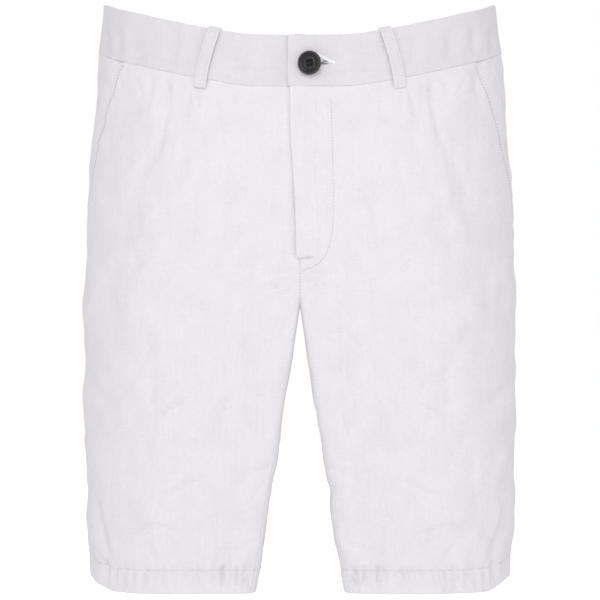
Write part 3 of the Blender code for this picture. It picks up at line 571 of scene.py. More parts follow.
def follow(z, s):
    """Plan position and plan normal at side level z and distance s round the section."""
    front, back = sections(z)
    line = np.concatenate([front, back[:, 1:], front[:, 1:ARC_STEPS]], axis=1)
    run = run_lengths(line)
    ahead = np.gradient(line, axis=1)
    ahead[:, -ARC_STEPS] = np.where((z < CROTCH_Z)[:, None], ahead[:, -ARC_STEPS], ahead[:, -ARC_STEPS - 1])
    ahead = unit(ahead)
    return [read_rows(run, v, s) for v in (line[:, :, 0], line[:, :, 1], ahead[:, :, 1], -ahead[:, :, 0])]


def foremost_length(z):
    """Distance from where the section starts to its foremost point."""
    return run_lengths(sections(z)[0])[:, ARC_STEPS - 1:ARC_STEPS]


def place(z, s, out, hand, creased=1.0):
    """Points at side level z and distance s round the section, moved along the surface's normal by out.

    s starts at the centre front or, on a leg, at the innermost line. A negative s lies across the centre front.
    hand is 1 for the wearer's left half and -1 for the right. The creases press the point in. Beside the centre
    seams a point isn't moved sideways, so the seams stay shut.
    """
    x, y, normal_x, normal_y = follow(z, np.abs(s))
    from_foremost = np.abs(s) - foremost_length(z)
    x_above, y_above = follow(z + SLOPE_STEP, from_foremost + foremost_length(z + SLOPE_STEP))[:2]
    x_below, y_below = follow(z - SLOPE_STEP, from_foremost + foremost_length(z - SLOPE_STEP))[:2]
    slope = ((x_above - x_below) * normal_x + (y_above - y_below) * normal_y) / (2 * SLOPE_STEP)
    tilt = np.sqrt(1 + slope**2)
    height = heights(z, x, y)
    sign = hand * np.where(s < 0, -1.0, 1.0)
    own_x = sign * x
    level = z[:, None]
    front = ramp(ring_at("y_side", z)[:, None] - y, -0.006, 0.006)
    pressed = 0.0
    for share, creases, puckers, seed in (
        (front, FRONT_CREASES, FRONT_PUCKERS, 3), (1 - front, BACK_CREASES, BACK_PUCKERS, 8),
    ):
        hems = pucker_depth(puckers, own_x, height, level)
        pressed = pressed + share * (crease_depth(creases, own_x, height) + hems + crumple(own_x, height, seed))
    pressed = pressed * (1 - fall(x, 0.0, 0.014) * ramp(-height, 0.215, 0.240))
    firm = 1 - 0.6 * ramp(level, BAND_BOTTOM - 0.010, BAND_BOTTOM)
    on_band = ramp(level, BAND_BOTTOM - 0.002, BAND_BOTTOM + 0.004)
    pressed = firm * pressed + on_band * front * crease_depth(BAND_CREASES, own_x, height)
    moved = (out - creased * pressed) / tilt
    sideways = 1 - fall(x, 0.0, 0.003) * ramp(level, CROTCH_Z, CROTCH_Z + 0.006)
    x = np.maximum(x + moved * normal_x * sideways, SEAM_GAP / 2)
    return np.stack([sign * x, y + moved * normal_y, height - moved * slope], axis=2)


def spots(level, s, out, hand=1.0, creased=1.0):
    """Points at any list of levels and distances, one of each per point."""
    level, s, out = (np.asarray(v, float).ravel() for v in np.broadcast_arrays(level, s, out))
    return place(level, s[:, None], out[:, None], hand, creased)[:, 0]


def seam_start(z):
    """Distance from the leg's innermost line to where the front panel starts."""
    return read_column(INNER, INNER_COLUMNS, "seam_ahead", z)


def front_length(z):
    """Distance from the centre front, or from the leg's innermost line, to the side seam."""
    return run_lengths(sections(z)[0])[:, -1]


def whole_length(z):
    """Distance from there round to the centre back, or to the innermost line again."""
    return front_length(z) + run_lengths(sections(z)[1])[:, -1]


def mouth_distance(z):
    """How far the pocket mouth lies ahead of the side seam; 0 below it."""
    return read_column(MOUTH, MOUTH_COLUMNS, "from_side", z)


def graded(start, end, step, fine_at=(), fine=0.0004, reach=0.0022):
    """Steps from start to end that draw together round the given places, as the running sum of a density."""
    x = np.linspace(start, end, 3000)
    density = np.full_like(x, 1 / step)
    for spot in fine_at:
        density += (1 / fine - 1 / step) * np.exp(-(((x - spot) / reach) ** 2))
    count = np.concatenate([[0.0], np.cumsum((density[1:] + density[:-1]) / 2 * np.diff(x))])
    return np.interp(np.linspace(0.0, count[-1], int(math.ceil(count[-1])) + 1), count, x)


def roll(distance, radius=ROLL):
    """How far an edge has rolled in at a distance from it: a quarter circle of that radius."""
    left = np.clip(1 - distance / radius, 0.0, 1.0)
    return radius * (1 - np.sqrt(1 - left**2))


def groove(distance, depth=STITCH_GROOVE, half=GROOVE_HALF):
    """Groove that a row of stitches pulls in."""
    return depth * np.exp(-((distance / half) ** 2))


def grain(z, s, height):
    """Grain map in metres: across from the foremost or rearmost line, which runs straight, and up."""
    front, back = sections(z)
    ahead = run_lengths(front)
    foremost = ahead[:, ARC_STEPS - 1] - ring_at("x_front", z)
    side = ahead[:, -1]
    rearmost = side + run_lengths(back)[:, ARC_STEPS - 1] + ring_at("x_back", z)
    behind = s > side[:, None] + 1e-6
    return np.stack([np.where(behind, rearmost[:, None] - s + 0.7, s - foremost[:, None]), height], axis=2)


def new_piece(name, points, faces, material, uv=None):
    """Smooth mesh that rides on the one body, from points, faces and, for cloth, a grain map of the points."""
    mesh = bpy.data.meshes.new(name)
    mesh.from_pydata(points.tolist(), [], faces)
    mesh.materials.append(material)
    mesh.shade_smooth()
    if uv is not None:
        layer = mesh.uv_layers.new(name="grain")
        point = np.zeros(len(mesh.loops), dtype=np.int32)
        mesh.loops.foreach_get("vertex_index", point)
        layer.data.foreach_set("uv", uv[point].astype(np.float32).ravel())
        mesh.validate()
    piece = bpy.data.objects.new(name, mesh)
    bpy.context.scene.collection.objects.link(piece)
    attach(piece, "root")
    return piece


def ring_quads(rows, around):
    """Faces of a grid whose columns join up."""
    i, j = np.meshgrid(np.arange(rows - 1), np.arange(around), indexing="ij")
    a, b = (i * around + j).ravel(), (i * around + (j + 1) % around).ravel()
    return np.stack([a, b, b + around, a + around], axis=1)


def shell(name, outer, inner, uv, material, mirrored, hole=None):
    """Closed wall between two grids of points, rows down and columns across, joined round their edges.

    hole marks quads that are left out, and the two grids are joined round it too.
    """
    rows, columns = outer.shape[:2]
    count = rows * columns
    i, j = np.meshgrid(np.arange(rows - 1), np.arange(columns - 1), indexing="ij")
    quad = i * columns + j
    own = quad.ravel() if hole is None else quad[~hole]
    face = np.stack([own, own + columns, own + columns + 1, own + 1], axis=1)
    edges = np.concatenate([face[:, [k, (k + 1) % 4]] for k in range(4)])
    key = edges.min(axis=1) * count + edges.max(axis=1)
    _, where, times = np.unique(key, return_index=True, return_counts=True)
    rim = edges[where[times == 1]]
    wall = np.stack([rim[:, 1], rim[:, 0], rim[:, 0] + count, rim[:, 1] + count], axis=1)
    quads = np.concatenate([face, face[:, ::-1] + count, wall])
    if mirrored:
        quads = quads[:, ::-1]
    points = np.concatenate([outer.reshape(-1, 3), inner.reshape(-1, 3)])
    used = np.unique(quads)
    renumber = np.zeros(len(points), dtype=np.int64)
    renumber[used] = np.arange(len(used))
    grain_map = np.concatenate([uv.reshape(-1, 2), uv.reshape(-1, 2) + 0.31])
    return new_piece(name, points[used], renumber[quads].tolist(), material, grain_map[used])


def declare(piece, node):
    """Hides the part in model.glb that the piece stands for."""
    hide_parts(node)


def cloth(node, z, s, shape, wall, material, hand, across=None):
    """A piece of cloth: two skins placed and joined into a wall, with its grain map, and its part in model.glb
    hidden.
    """
    outer = place(z, s, shape, hand)
    inner = place(z, s, shape - wall, hand)
    grain_map = grain(z, s if across is None else across, outer[:, :, 2])
    declare(shell(f"{node}_cloth", outer, inner, grain_map, material, hand < 0), node)


def panel_levels():
    """Levels of a panel's rows from under the band to the fold, closer at the crotch and the stitching."""
    stitched = HEM_Z + HEM_DEPTH
    upper = graded(-BAND_BOTTOM - TUCKED_UP, -CROTCH_Z, 0.0022, (-BAND_BOTTOM + 0.0004,), 0.0004, 0.0016)
    bend = -CROTCH_Z - 0.016 * np.linspace(1.0, 0.0, 18) ** 1.5
    upper = np.concatenate([upper[upper < bend[0] - 0.001], bend])
    lower = graded(-CROTCH_Z, -stitched + 0.006, 0.0022, (-CROTCH_Z,), 0.0005, 0.0030)[1:]
    hem = graded(-stitched + 0.006, -HEM_Z, 0.0015, (-stitched, -HEM_Z), 0.0004, 0.0012)[1:]
    return -np.concatenate([upper, lower, hem])


def columns(start, end, near, far, count):
    """Columns from the start line to the end line: the given steps beside each, even ones between."""
    first, last = start + near[-1], end - far[-1]
    middle = np.linspace(0.0, 1.0, count)[1:-1]
    return np.concatenate([
        start[:, None] + near, first[:, None] + (last - first)[:, None] * middle, end[:, None] - far[::-1],
    ], axis=1)


def upright(z, s, anchor, seam_first, reach):
    """Columns kept upright over the crotch, where the section starts elsewhere than on the legs below.

    Above the crotch each column keeps its distance from the anchor as on the crotch's row; columns past the
    seam are drawn up beside it. Between the two heights they go over to the given ones.
    """
    up = (z - CROTCH_Z)[:, None]
    row = int(np.argmin(np.abs(z - CROTCH_Z)))
    far = -1 if seam_first else 0
    own = s[row] - anchor[row]
    spare = s[:, [far]] - anchor - own[far]
    kept = anchor + own + np.clip(own / own[far], 0.0, 1.0) * spare
    lack = s[:, [-1 - far]] - anchor - own[-1 - far]
    lack = np.minimum(lack, 0.0) if seam_first else np.maximum(lack, 0.0)
    kept = kept + np.clip(own / own[-1 - far], 0.0, 1.0) * lack
    order = DRAWN_UP * np.arange(s.shape[1])
    if seam_first:
        kept = np.maximum(kept, s[:, :1] + order)
    else:
        kept = np.minimum(kept, s[:, -1:] - order[::-1])
    return np.where(up > 1e-7, kept + ramp(up, *reach) * (s - kept), s)


def hem_shape(z):
    """How far in the hem's own skin lies at each level: the stitched groove and the rolled fold."""
    return groove(z - (HEM_Z + HEM_DEPTH)) + roll(z - HEM_Z, HEM_WALL / 2)


def panel_wall(z):
    """Wall thickness down a panel: thicker where the hem is turned up, closing at the fold."""
    turned_up = ramp(-z, -HEM_Z - HEM_DEPTH - 0.0022, -HEM_Z - HEM_DEPTH - 0.0008)
    thick = WALL + (HEM_WALL - WALL) * turned_up
    return np.maximum(thick - 2 * roll(z - HEM_Z, HEM_WALL / 2), THINNEST)


def rolled_thin(distance):
    """Share of the wall that is left near a rolled edge."""
    return 1 - 0.7 * roll(distance) / ROLL


def tuck(z):
    """How far a panel's top dives in behind the band's lower edge."""
    return TUCK * ramp(z, BAND_BOTTOM - 0.0004, BAND_BOTTOM + 0.0010)


def fly_lift(s):
    """How far the left front stands off over the right one beside the fly's edge."""
    return FLY_LIFT * fall(s, 0.001, FLY_LIFT_WIDTH)


def tab_share(s):
    """1 on the band's tab and beside it, 0 farther round."""
    return fall(s, 0.032, 0.046)


def front_panel(material, hand):
    """Front panel, from the centre or inseam to the mouth or side seam; the left one laps over the fly."""
    left = hand > 0
    z = panel_levels()
    start = seam_start(z)
    mouth = mouth_distance(z)
    outer_edge = front_length(z) - np.maximum(mouth, 0.0)
    near = graded(0.0, 0.040, 0.0016, (0.0, 0.0020, 0.0138, 0.0267), 0.0004, 0.0014)
    far = graded(0.0, 0.012, 0.0020, (0.0, 0.0018), 0.0004, 0.0012)
    s = upright(z, columns(start, outer_edge, near, far, 62), foremost_length(z), True, FRONT_UPRIGHT)
    lift = np.zeros_like(s)
    if left:
        low = ramp(-z, -BAND_BOTTOM, -FLY_END_Z)
        shut = ramp(-z, -FLY_END_Z + 0.0005, -FLY_CLOSED_Z)
        edge = (FLY_EDGE_TOP + (FLY_EDGE_LOW - FLY_EDGE_TOP) * low) * (1 - shut)
        lap = graded(0.0, 1.0, 0.09, (0.0,), 0.03, 0.15)[:-1]
        first = (start * (z < FLY_CLOSED_Z))[:, None]
        s = np.concatenate([first - edge[:, None] * (1 - lap), s], axis=1)
        above = fall(-z, -FLY_END_Z - 0.004, -FLY_CLOSED_Z)
        lift = fly_lift(s) * above[:, None]
        edge_of_facing = read_column(FACING_EDGE, ("z", "s"), "s", z)[:, None]
        facing = fall(s, edge_of_facing - 0.0007, edge_of_facing + 0.0006)
        facing = facing * fall(-z, 0.2010, 0.2026)[:, None]
        lift = lift + FACING_LIFT * facing * ramp(s, -0.006, -0.001)
        under_tab = tab_share(s) * ramp(z, BAND_BOTTOM - 0.014, BAND_BOTTOM)[:, None]
        lift = np.maximum(lift, 0.9 * TAB_LIFT * under_tab)
    from_start = s - s[:, :1]
    from_mouth = outer_edge[:, None] - s
    shape = lift - roll(from_mouth) - hem_shape(z)[:, None] - tuck(z)[:, None]
    shape = shape - roll(from_start, FLY_ROLL if left else ROLL)
    open_mouth = (mouth > 0.002)[:, None]
    shape = shape - np.where(open_mouth, groove(from_mouth - 0.0021, MOUTH_GROOVE, NARROW_HALF), 0.0)
    if left:
        shape = shape - fly_groove(z, s)
    else:
        beside = s - read_column(RISE_STITCH, ("z", "s"), "s", z)[:, None]
        below_fly = ramp(-z, 0.1985, 0.2015) * fall(-z, 0.238, 0.243)
        shape = shape - groove(beside, RISE_GROOVE, RISE_GROOVE_HALF) * below_fly[:, None]
    wall = panel_wall(z)[:, None] * rolled_thin(from_mouth) * rolled_thin(from_start)
    cloth(f"front_{SIDES[hand]}", z, s, shape, wall, material, hand)


def centre_level(height):
    """Side level of a height on the centre front, read back from the dip."""
    level = np.linspace(BAND_BOTTOM + 0.03, HIP_LEVEL - 0.1, 600)
    rise = heights(level, np.full((600, 1), 0.020), np.full((600, 1), -0.11))[:, 0]
    return np.interp(-np.asarray(height), -rise, level)


def fly_line():
    """The J-shaped stitch line as side levels and distances, evenly spread by distance run."""
    path = np.array(FLY_STITCH)
    run = path_run(path)
    at = np.linspace(0.0, run[-1], 160)
    smooth = np.exp(-(((at[:, None] - at[None, :]) / 0.006) ** 2))
    smooth /= smooth.sum(axis=1, keepdims=True)
    s, height = np.interp(at, run, path[:, 0]), np.interp(at, run, path[:, 1])
    eased = np.stack([smooth @ s, smooth @ height])
    ends = np.minimum(at, run[-1] - at)[None, :] < 0.010
    s, height = np.where(ends, np.stack([s, height]), eased)
    return centre_level(height), s


def fly_groove(z, s):
    """Groove along the fly's stitch line: read from the nearest point of the line."""
    level, line_s = fly_line()
    depth = np.zeros_like(s)
    near = (s > -0.002) & (s < 0.036) & (z > -0.235)[:, None]
    row, column = np.nonzero(near)
    gap = np.hypot(z[row][:, None] - level, s[row, column][:, None] - line_s).min(axis=1)
    depth[row, column] = groove(gap, FLY_GROOVE, NARROW_HALF) * (1 + ramp(-z[row], 0.190, 0.204))
    return depth


def back_panel(material, hand):
    """Back panel, from the side seam round to the centre back and, below the crotch, the inseam."""
    z = panel_levels()
    start = front_length(z)
    end = whole_length(z) + seam_start(z)
    near = graded(0.0, 0.010, 0.0024, (0.0,), 0.0005, 0.0012)
    rearmost = start[:, None] + run_lengths(sections(z)[1])[:, ARC_STEPS - 1:ARC_STEPS]
    s = upright(z, columns(start, end, near, near, 96), rearmost, False, BACK_UPRIGHT)
    from_start, from_end = s - start[:, None], end[:, None] - s
    shape = -roll(from_start) - roll(from_end) - hem_shape(z)[:, None] - tuck(z)[:, None]
    wall = panel_wall(z)[:, None] * rolled_thin(from_start) * rolled_thin(from_end)
    cloth(f"back_{SIDES[hand]}", z, s, shape, wall, material, hand)


def pocket_facing(material, hand):
    """Hip piece behind the slant mouth, from under the front panel out to the side seam."""
    z = -graded(-BAND_BOTTOM - TUCKED_UP, 0.176, 0.0022, (-BAND_BOTTOM + 0.0004,), 0.0004, 0.0016)
    side = front_length(z)
    mouth = mouth_distance(z)
    start = side - mouth - 0.012
    share = graded(0.0, 1.0, 0.030, (0.15, 1.0), 0.010, 0.05)
    s = start[:, None] + (side - start)[:, None] * share
    past = s - (side - mouth)[:, None]
    end = ramp(-z, 0.160, 0.168)
    end = end[:, None]
    sink = (WALL + LAYER_GAP) * (1 - ramp(past, 0.001, FACING_RISE) * (1 - end)) + 0.0006 * end
    shape = -sink - roll(side[:, None] - s) - tuck(z)[:, None]
    cloth(f"pocket_facing_{SIDES[hand]}", z, s, shape, WALL, material, hand)


def waistband(material, hand):
    """Waistband half with a folded top edge and a rolled lower edge.

    On the left one two rows part round the buttonhole, and the quads between them are left out.
    """
    left = hand > 0
    z = -graded(-WAIST_TOP, -BAND_BOTTOM, 0.0017, (-WAIST_TOP, -BAND_BOTTOM), 0.0003, 0.0012)
    slit_level = BUTTON_Z + FRONT_DIP
    if left:
        k = int(np.argmin(np.abs(z - slit_level)))
        z = np.concatenate([z[:k], [slit_level + 0.0002, slit_level - 0.0002], z[k + 1:]])
    length = whole_length(z)
    first = -TAB_LAP if left else -UNDERLAP
    near = graded(first, 0.060, 0.0016, (first,), 0.0003, 0.0012)
    s = np.concatenate([
        np.tile(near, (len(z), 1)),
        near[-1] + (length - near[-1])[:, None] * np.linspace(0.0, 1.0, 190)[None, 1:],
    ], axis=1)
    from_start = s - first
    if left:
        cut = roll(WAIST_TOP - z, TAB_CORNER)
        s = s + cut[:, None] * fall(from_start, 0.0, 0.012)
        out = BAND_PROUD + TAB_LIFT * tab_share(s)
    else:
        out = BAND_PROUD - UNDERLAP_SINK * fall(s, 0.012, 0.022)
    from_top, from_low = (WAIST_TOP - z)[:, None], (z - BAND_BOTTOM)[:, None]
    to_back = length[:, None] - s
    shape = out - roll(from_top, BAND_WALL / 2) - roll(from_low, BAND_LOW_ROLL)
    shape = shape - roll(from_start, BAND_END_ROLL) - roll(to_back, BAND_END_ROLL)
    wall = BAND_WALL - 2 * roll(from_top, BAND_WALL / 2) - 0.9 * roll(from_start, BAND_END_ROLL)
    wall = np.maximum(wall - 0.4 * roll(from_low, BAND_LOW_ROLL), THINNEST)
    level = np.broadcast_to(z[:, None], s.shape)
    hole = None
    if left:
        share = np.clip((s - SLIT_START) / (SLIT_END - SLIT_START), 0.0, 1.0)
        inside = (s > SLIT_START + 0.0002) & (s < SLIT_END)
        opening = np.where(inside, SLIT_OPEN * np.sqrt(np.clip(1 - share**2, 0.0, 1.0)), 0.0)
        away = np.abs(level - slit_level)
        ease = np.where(away < SLIT_REACH, (1 - away / SLIT_REACH) ** 2, 0.0)
        level = level + np.sign(level - slit_level) * opening * ease
        rows = np.abs(z[:-1] - (slit_level + 0.0002)) < 1e-9
        centre = (s[:-1, :-1] + s[:-1, 1:]) / 2
        hole = rows[:, None] & (centre > SLIT_START + 0.0002) & (centre < SLIT_END - 0.0004)
    rows, columns = s.shape
    outer = spots(level, s, shape, hand).reshape(rows, columns, 3)
    inner = spots(level, s, shape - wall, hand).reshape(rows, columns, 3)
    name = f"waistband_{SIDES[hand]}"
    uv = np.stack([s + 0.2, level + 0.5], axis=2)
    declare(shell(f"{name}_cloth", outer, inner, uv, material, not left, hole), name)


def fly_shield(material):
    """Strip behind the fly, across both fronts."""
    z = -graded(-BAND_BOTTOM - TUCKED_UP, -SHIELD_END_Z, 0.0024)
    s = np.tile(graded(-SHIELD_LAP, SHIELD_EDGE, 0.0020), (len(z), 1))
    shape = -(WALL + 2 * LAYER_GAP) - 0.6 * tuck(z)[:, None]
    shape = np.broadcast_to(shape, s.shape)
    cloth("fly_shield", z, s, shape, WALL, material, 1.0, np.abs(s))


def smooth_path(rows, count, ease=0.0009):
    """Path through a short table, spread evenly by distance and eased over its corners."""
    path = np.array(rows)
    run = path_run(path)
    at = np.linspace(0.0, run[-1], count)
    line = along_run(at, run, path)
    weight = np.exp(-(((at[:, None] - at[None, :]) / ease) ** 2))
    eased = (weight / weight.sum(axis=1, keepdims=True)) @ line
    eased[0], eased[-1] = line[0], line[-1]
    return eased


def loop_middle(level, s_seam, lean):
    """Distance of a loop's middle line at each level: the front ones lean and bow towards the centre."""
    return s_seam - lean * level - (FRONT_LOOP_BOW * level**2 if lean else 0.0)


def gape(level):
    """How far the sides of a belt loop turn off the band at each level."""
    return LOOP_GAPE * np.sin(np.clip((level + 0.028) / 0.050, 0.0, 1.0) * math.pi)


def belt_loop(name, material, s_seam, lean, hand):
    """Flat strip with rounded edges carried up the loop's path; its cross-section is a rounded oblong ring."""
    path = smooth_path(LOOP_PATH, 96)
    ahead = unit(np.gradient(path, axis=0))
    turn = np.linspace(0.0, 2 * math.pi, 41)[:-1]
    across = np.sign(np.cos(turn)) * np.abs(np.cos(turn)) ** 0.35
    through = np.sign(np.sin(turn)) * np.abs(np.sin(turn)) ** 0.8
    half, thick = LOOP_WIDTH / 2, LOOP_WALL / 2
    swell = 1 + 0.25 * np.exp(-(((np.abs(across) - 0.80) / 0.22) ** 2))
    level = path[:, :1] + (-ahead[:, 1:]) * thick * (through * swell)
    out = path[:, 1:] + ahead[:, :1] * thick * (through * swell)
    out = out - gape(path[:, :1]) * across
    s = loop_middle(level, s_seam, lean) + half * across
    centre_back = s_seam > 0.4
    if centre_back:
        back = whole_length(level.ravel()).reshape(level.shape)
        s = back - half * np.abs(across)
    points = spots(level, s, out, hand, 0.0).reshape(*level.shape, 3)
    if centre_back:
        points[:, :, 0] = np.abs(points[:, :, 0]) * -np.sign(across)
    rows, around = level.shape
    k = np.arange(around // 2 - 1)
    low = np.stack([k, around - 1 - k, around - 2 - k, k + 1], axis=1)
    shift = (rows - 1) * around
    quads = np.concatenate([ring_quads(rows, around), low, low[:, ::-1] + shift])
    uv = np.stack([np.tile(across * half, (rows, 1)) + 0.9, np.tile(path[:, :1], (1, around))], axis=2)
    piece = new_piece(f"{name}_cloth", points.reshape(-1, 3), quads.tolist(), material, uv.reshape(-1, 2))
    face_out(piece)
    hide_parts(name)


def on_button(points):
    """The button's own points (x, y, height off its back) turned onto the band and put at its place."""
    edge_drop = BUTTON_RADIUS * math.sin(BUTTON_TURN)
    out = BAND_PROUD + TAB_LIFT + LAYER_GAP + edge_drop
    middle = spots(BUTTON_Z + FRONT_DIP, BUTTON_X, out, 1.0, 0.0)[0]
    x, y, height = points[..., 0], points[..., 1], points[..., 2]
    turned_x = x * math.cos(BUTTON_TURN) - height * math.sin(BUTTON_TURN)
    turned_y = -x * math.sin(BUTTON_TURN) - height * math.cos(BUTTON_TURN)
    return middle + np.stack([turned_x, turned_y, y], axis=-1)


def closed_grid(name, points, material):
    """Closed skin on a grid whose columns join up, with flat caps over its first and last rows."""
    rows, around = points.shape[:2]
    last = (rows - 1) * around
    caps = [list(range(around))[::-1], [last + k for k in range(around)]]
    piece = new_piece(name, points.reshape(-1, 3), ring_quads(rows, around).tolist() + caps, material)
    piece.data.set_sharp_from_angle(angle=math.radians(50))
    face_out(piece)
    return piece


def button(material):
    """Turned button: its outline (radius, height) swept round, and four round pits pressed into its middle."""
    path = smooth_path(BUTTON_PROFILE, 150, 0.00012)
    turn = np.linspace(0.0, 2 * math.pi, 129)[:-1]
    radius, height = path[:, :1], path[:, 1:]
    x, y = radius * np.cos(turn), radius * np.sin(turn)
    z = np.broadcast_to(height, x.shape).copy()
    for hole_x, hole_y in button_holes():
        away = np.hypot(x - hole_x, y - hole_y)
        pit = BUTTON_PIT * (1 - ramp(away, BUTTON_HOLE - 0.00012, BUTTON_HOLE + 0.0001))
        z = np.where(z > BUTTON_FACE, z - pit, z)
    ripple = 0.00003 * np.sin(9 * turn + 3.0) * ramp(radius, 0.0045, 0.0075)
    points = on_button(np.stack([x, y, z + ripple * (z > 0.001)], axis=2))
    piece = closed_grid("button_turned", points, material)
    # Points inside the holes read 0, which the plastic paints black: painted shade in the holes
    reach = np.broadcast_to(radius, x.shape).copy()
    for hole_x, hole_y in button_holes():
        reach[(np.hypot(x - hole_x, y - hole_y) < BUTTON_HOLE) & (height > BUTTON_FACE)] = 0.0
    piece.data.attributes.new("from_middle", "FLOAT", "POINT").data.foreach_set("value", reach.ravel())
    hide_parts("button")


def button_holes():
    """Middles of the four holes."""
    turn = math.radians(45 + 8) + np.arange(4) * math.pi / 2
    return list(zip(BUTTON_HOLE_OFFSET * np.cos(turn), BUTTON_HOLE_OFFSET * np.sin(turn)))


def thread_tube(path, thick, flat=1.0):
    """Thread along a path of points: a ring carried along it, flattened off the cloth, thinner at both ends."""
    ahead = unit(np.gradient(path, axis=0))
    aside = unit(np.cross(ahead, (0.0, -1.0, 0.0)))
    off = np.cross(aside, ahead)
    ring = np.linspace(0.0, 2 * math.pi, 13)[:-1]
    at = np.linspace(-1.0, 1.0, len(path))
    size = np.maximum(thick / 2 * (1 - at**8) ** 0.5, thick * 0.12)[:, None, None]
    return (path[:, None, :] + size * np.cos(ring)[None, :, None] * aside[:, None, :]
            + size * flat * np.sin(ring)[None, :, None] * off[:, None, :])


def tab_line(path):
    """Points on the band's tab from a path of distance, height and how far off the tab."""
    return spots(path[:, 1] + FRONT_DIP, path[:, 0], BAND_PROUD + TAB_LIFT + path[:, 2])


def button_thread(material, dark):
    """Threads over the button between its holes, and those that show through the buttonhole beside it."""
    holes = button_holes()
    step = np.linspace(0.0, 1.0, 15)[:, None]
    for k, (first, last) in enumerate(((0, 1), (2, 3))):
        a, b = np.array((*holes[first], 0.0015)), np.array((*holes[last], 0.0015))
        line = a + (b - a) * step
        line[:, 2] += 0.00045 * np.sin(math.pi * step[:, 0]) - 0.0004
        closed_grid(f"button_thread_{k + 1}", thread_tube(on_button(line), HOLE_THREAD_THICK), dark)
    for k, rows in enumerate(SLIT_THREADS):
        line = tab_line(smooth_path(rows, 24))
        closed_grid(f"slit_thread_{k + 1}", thread_tube(line, SLIT_THREAD_THICK), material)


def fly_bar(material):
    """Short dense bar of stitches across the fly's lower end: a flattened cord with ribs."""
    path = smooth_path(FLY_BAR, 60)
    line = spots(centre_level(path[:, 1]), path[:, 0], FLY_LIFT * 0.55 + 0.0004, 1.0)
    closed_grid("fly_bar", thread_tube(line, BAR_THICK, 0.6), material)


def buttonhole_lips(satin, shaded_lip):
    """Satin-stitched edges of the buttonhole: two flattened cords with fine ribs across, meeting at its end."""
    # The lower lip gets a darker thread than the upper: painted shade
    for name, rows, thick, material in (
        ("buttonhole_lip_upper", UPPER_LIP, UPPER_LIP_THICK, satin),
        ("buttonhole_lip_lower", LOWER_LIP, LOWER_LIP_THICK, shaded_lip),
    ):
        line = tab_line(smooth_path(rows, 140))
        middle = line[:, None, :]
        rib = 1 + 0.045 * np.where(np.arange(len(line)) % 4 < 2, 1.0, -1.0)[:, None, None]
        closed_grid(name, middle + (thread_tube(line, thick, 0.42) - middle) * rib, material)


def face_out(piece):
    """Turns a closed mesh's faces outwards."""
    body = bmesh.new()
    body.from_mesh(piece.data)
    bmesh.ops.recalc_face_normals(body, faces=body.faces)
    body.to_mesh(piece.data)
    body.free()


def stitches(lines, shift):
    """Rows of stitches as one set of small spindles: each line gives points and normals along a path."""
    ring = np.linspace(0.0, 2 * math.pi, 7)[:-1]
    along = np.array([-0.55, 0.0, 0.55])
    raised = np.tile(np.sin(ring), 3) + np.repeat([0.0, 0.25, 0.0], 6)
    body = np.stack([np.repeat(along, 6), np.tile(np.cos(ring), 3), raised], axis=1)
    shape = np.concatenate([[(-1.0, 0.0, -0.6)], body, [(1.0, 0.0, -0.6)]])
    j = np.arange(6)
    k = (j + 1) % 6
    nil = 0 * j
    ends = np.concatenate([np.stack(corners, 1) for corners in (
        (nil, 1 + k, 1 + j, 1 + j), (13 + j, 13 + k, nil + 19, nil + 19),
    )])
    sides = np.concatenate([np.stack([n + j, n + k, n + 6 + k, n + 6 + j], 1) for n in (1, 7)])
    points, faces, base = [], [], 0
    for line, normal, pitch, long, thick in lines:
        run = path_run(line)
        at = np.arange(pitch / 2, run[-1] - shift * pitch, pitch) + shift * pitch
        centre, up = along_run(at, run, line), unit(along_run(at, run, normal))
        tangent = unit(along_run(at + long / 4, run, line) - along_run(at - long / 4, run, line))
        aside = np.cross(up, tangent)
        spot = centre[:, None, :] + shape[None, :, :1] * tangent[:, None, :] * long / 2
        spot = spot + shape[None, :, 1:2] * aside[:, None, :] * thick / 2
        spot = spot + shape[None, :, 2:] * up[:, None, :] * thick / 2
        points.append(spot.reshape(-1, 3))
        start = base + len(shape) * np.arange(len(at))
        faces += [(start[:, None, None] + part).reshape(-1, 4) for part in (ends, sides)]
        base += len(shape) * len(at)
    quads = np.concatenate(faces)
    return np.concatenate(points), [[a, b, c] if c == d else [a, b, c, d] for a, b, c, d in quads.tolist()]


def stitch_line(level, s, out, hand, creased):
    """Points and outward normals along a path on the surface."""
    low = spots(level, s, out, hand, creased)
    high = spots(level, s, np.asarray(out) + 0.001, hand, creased)
    return low, high - low


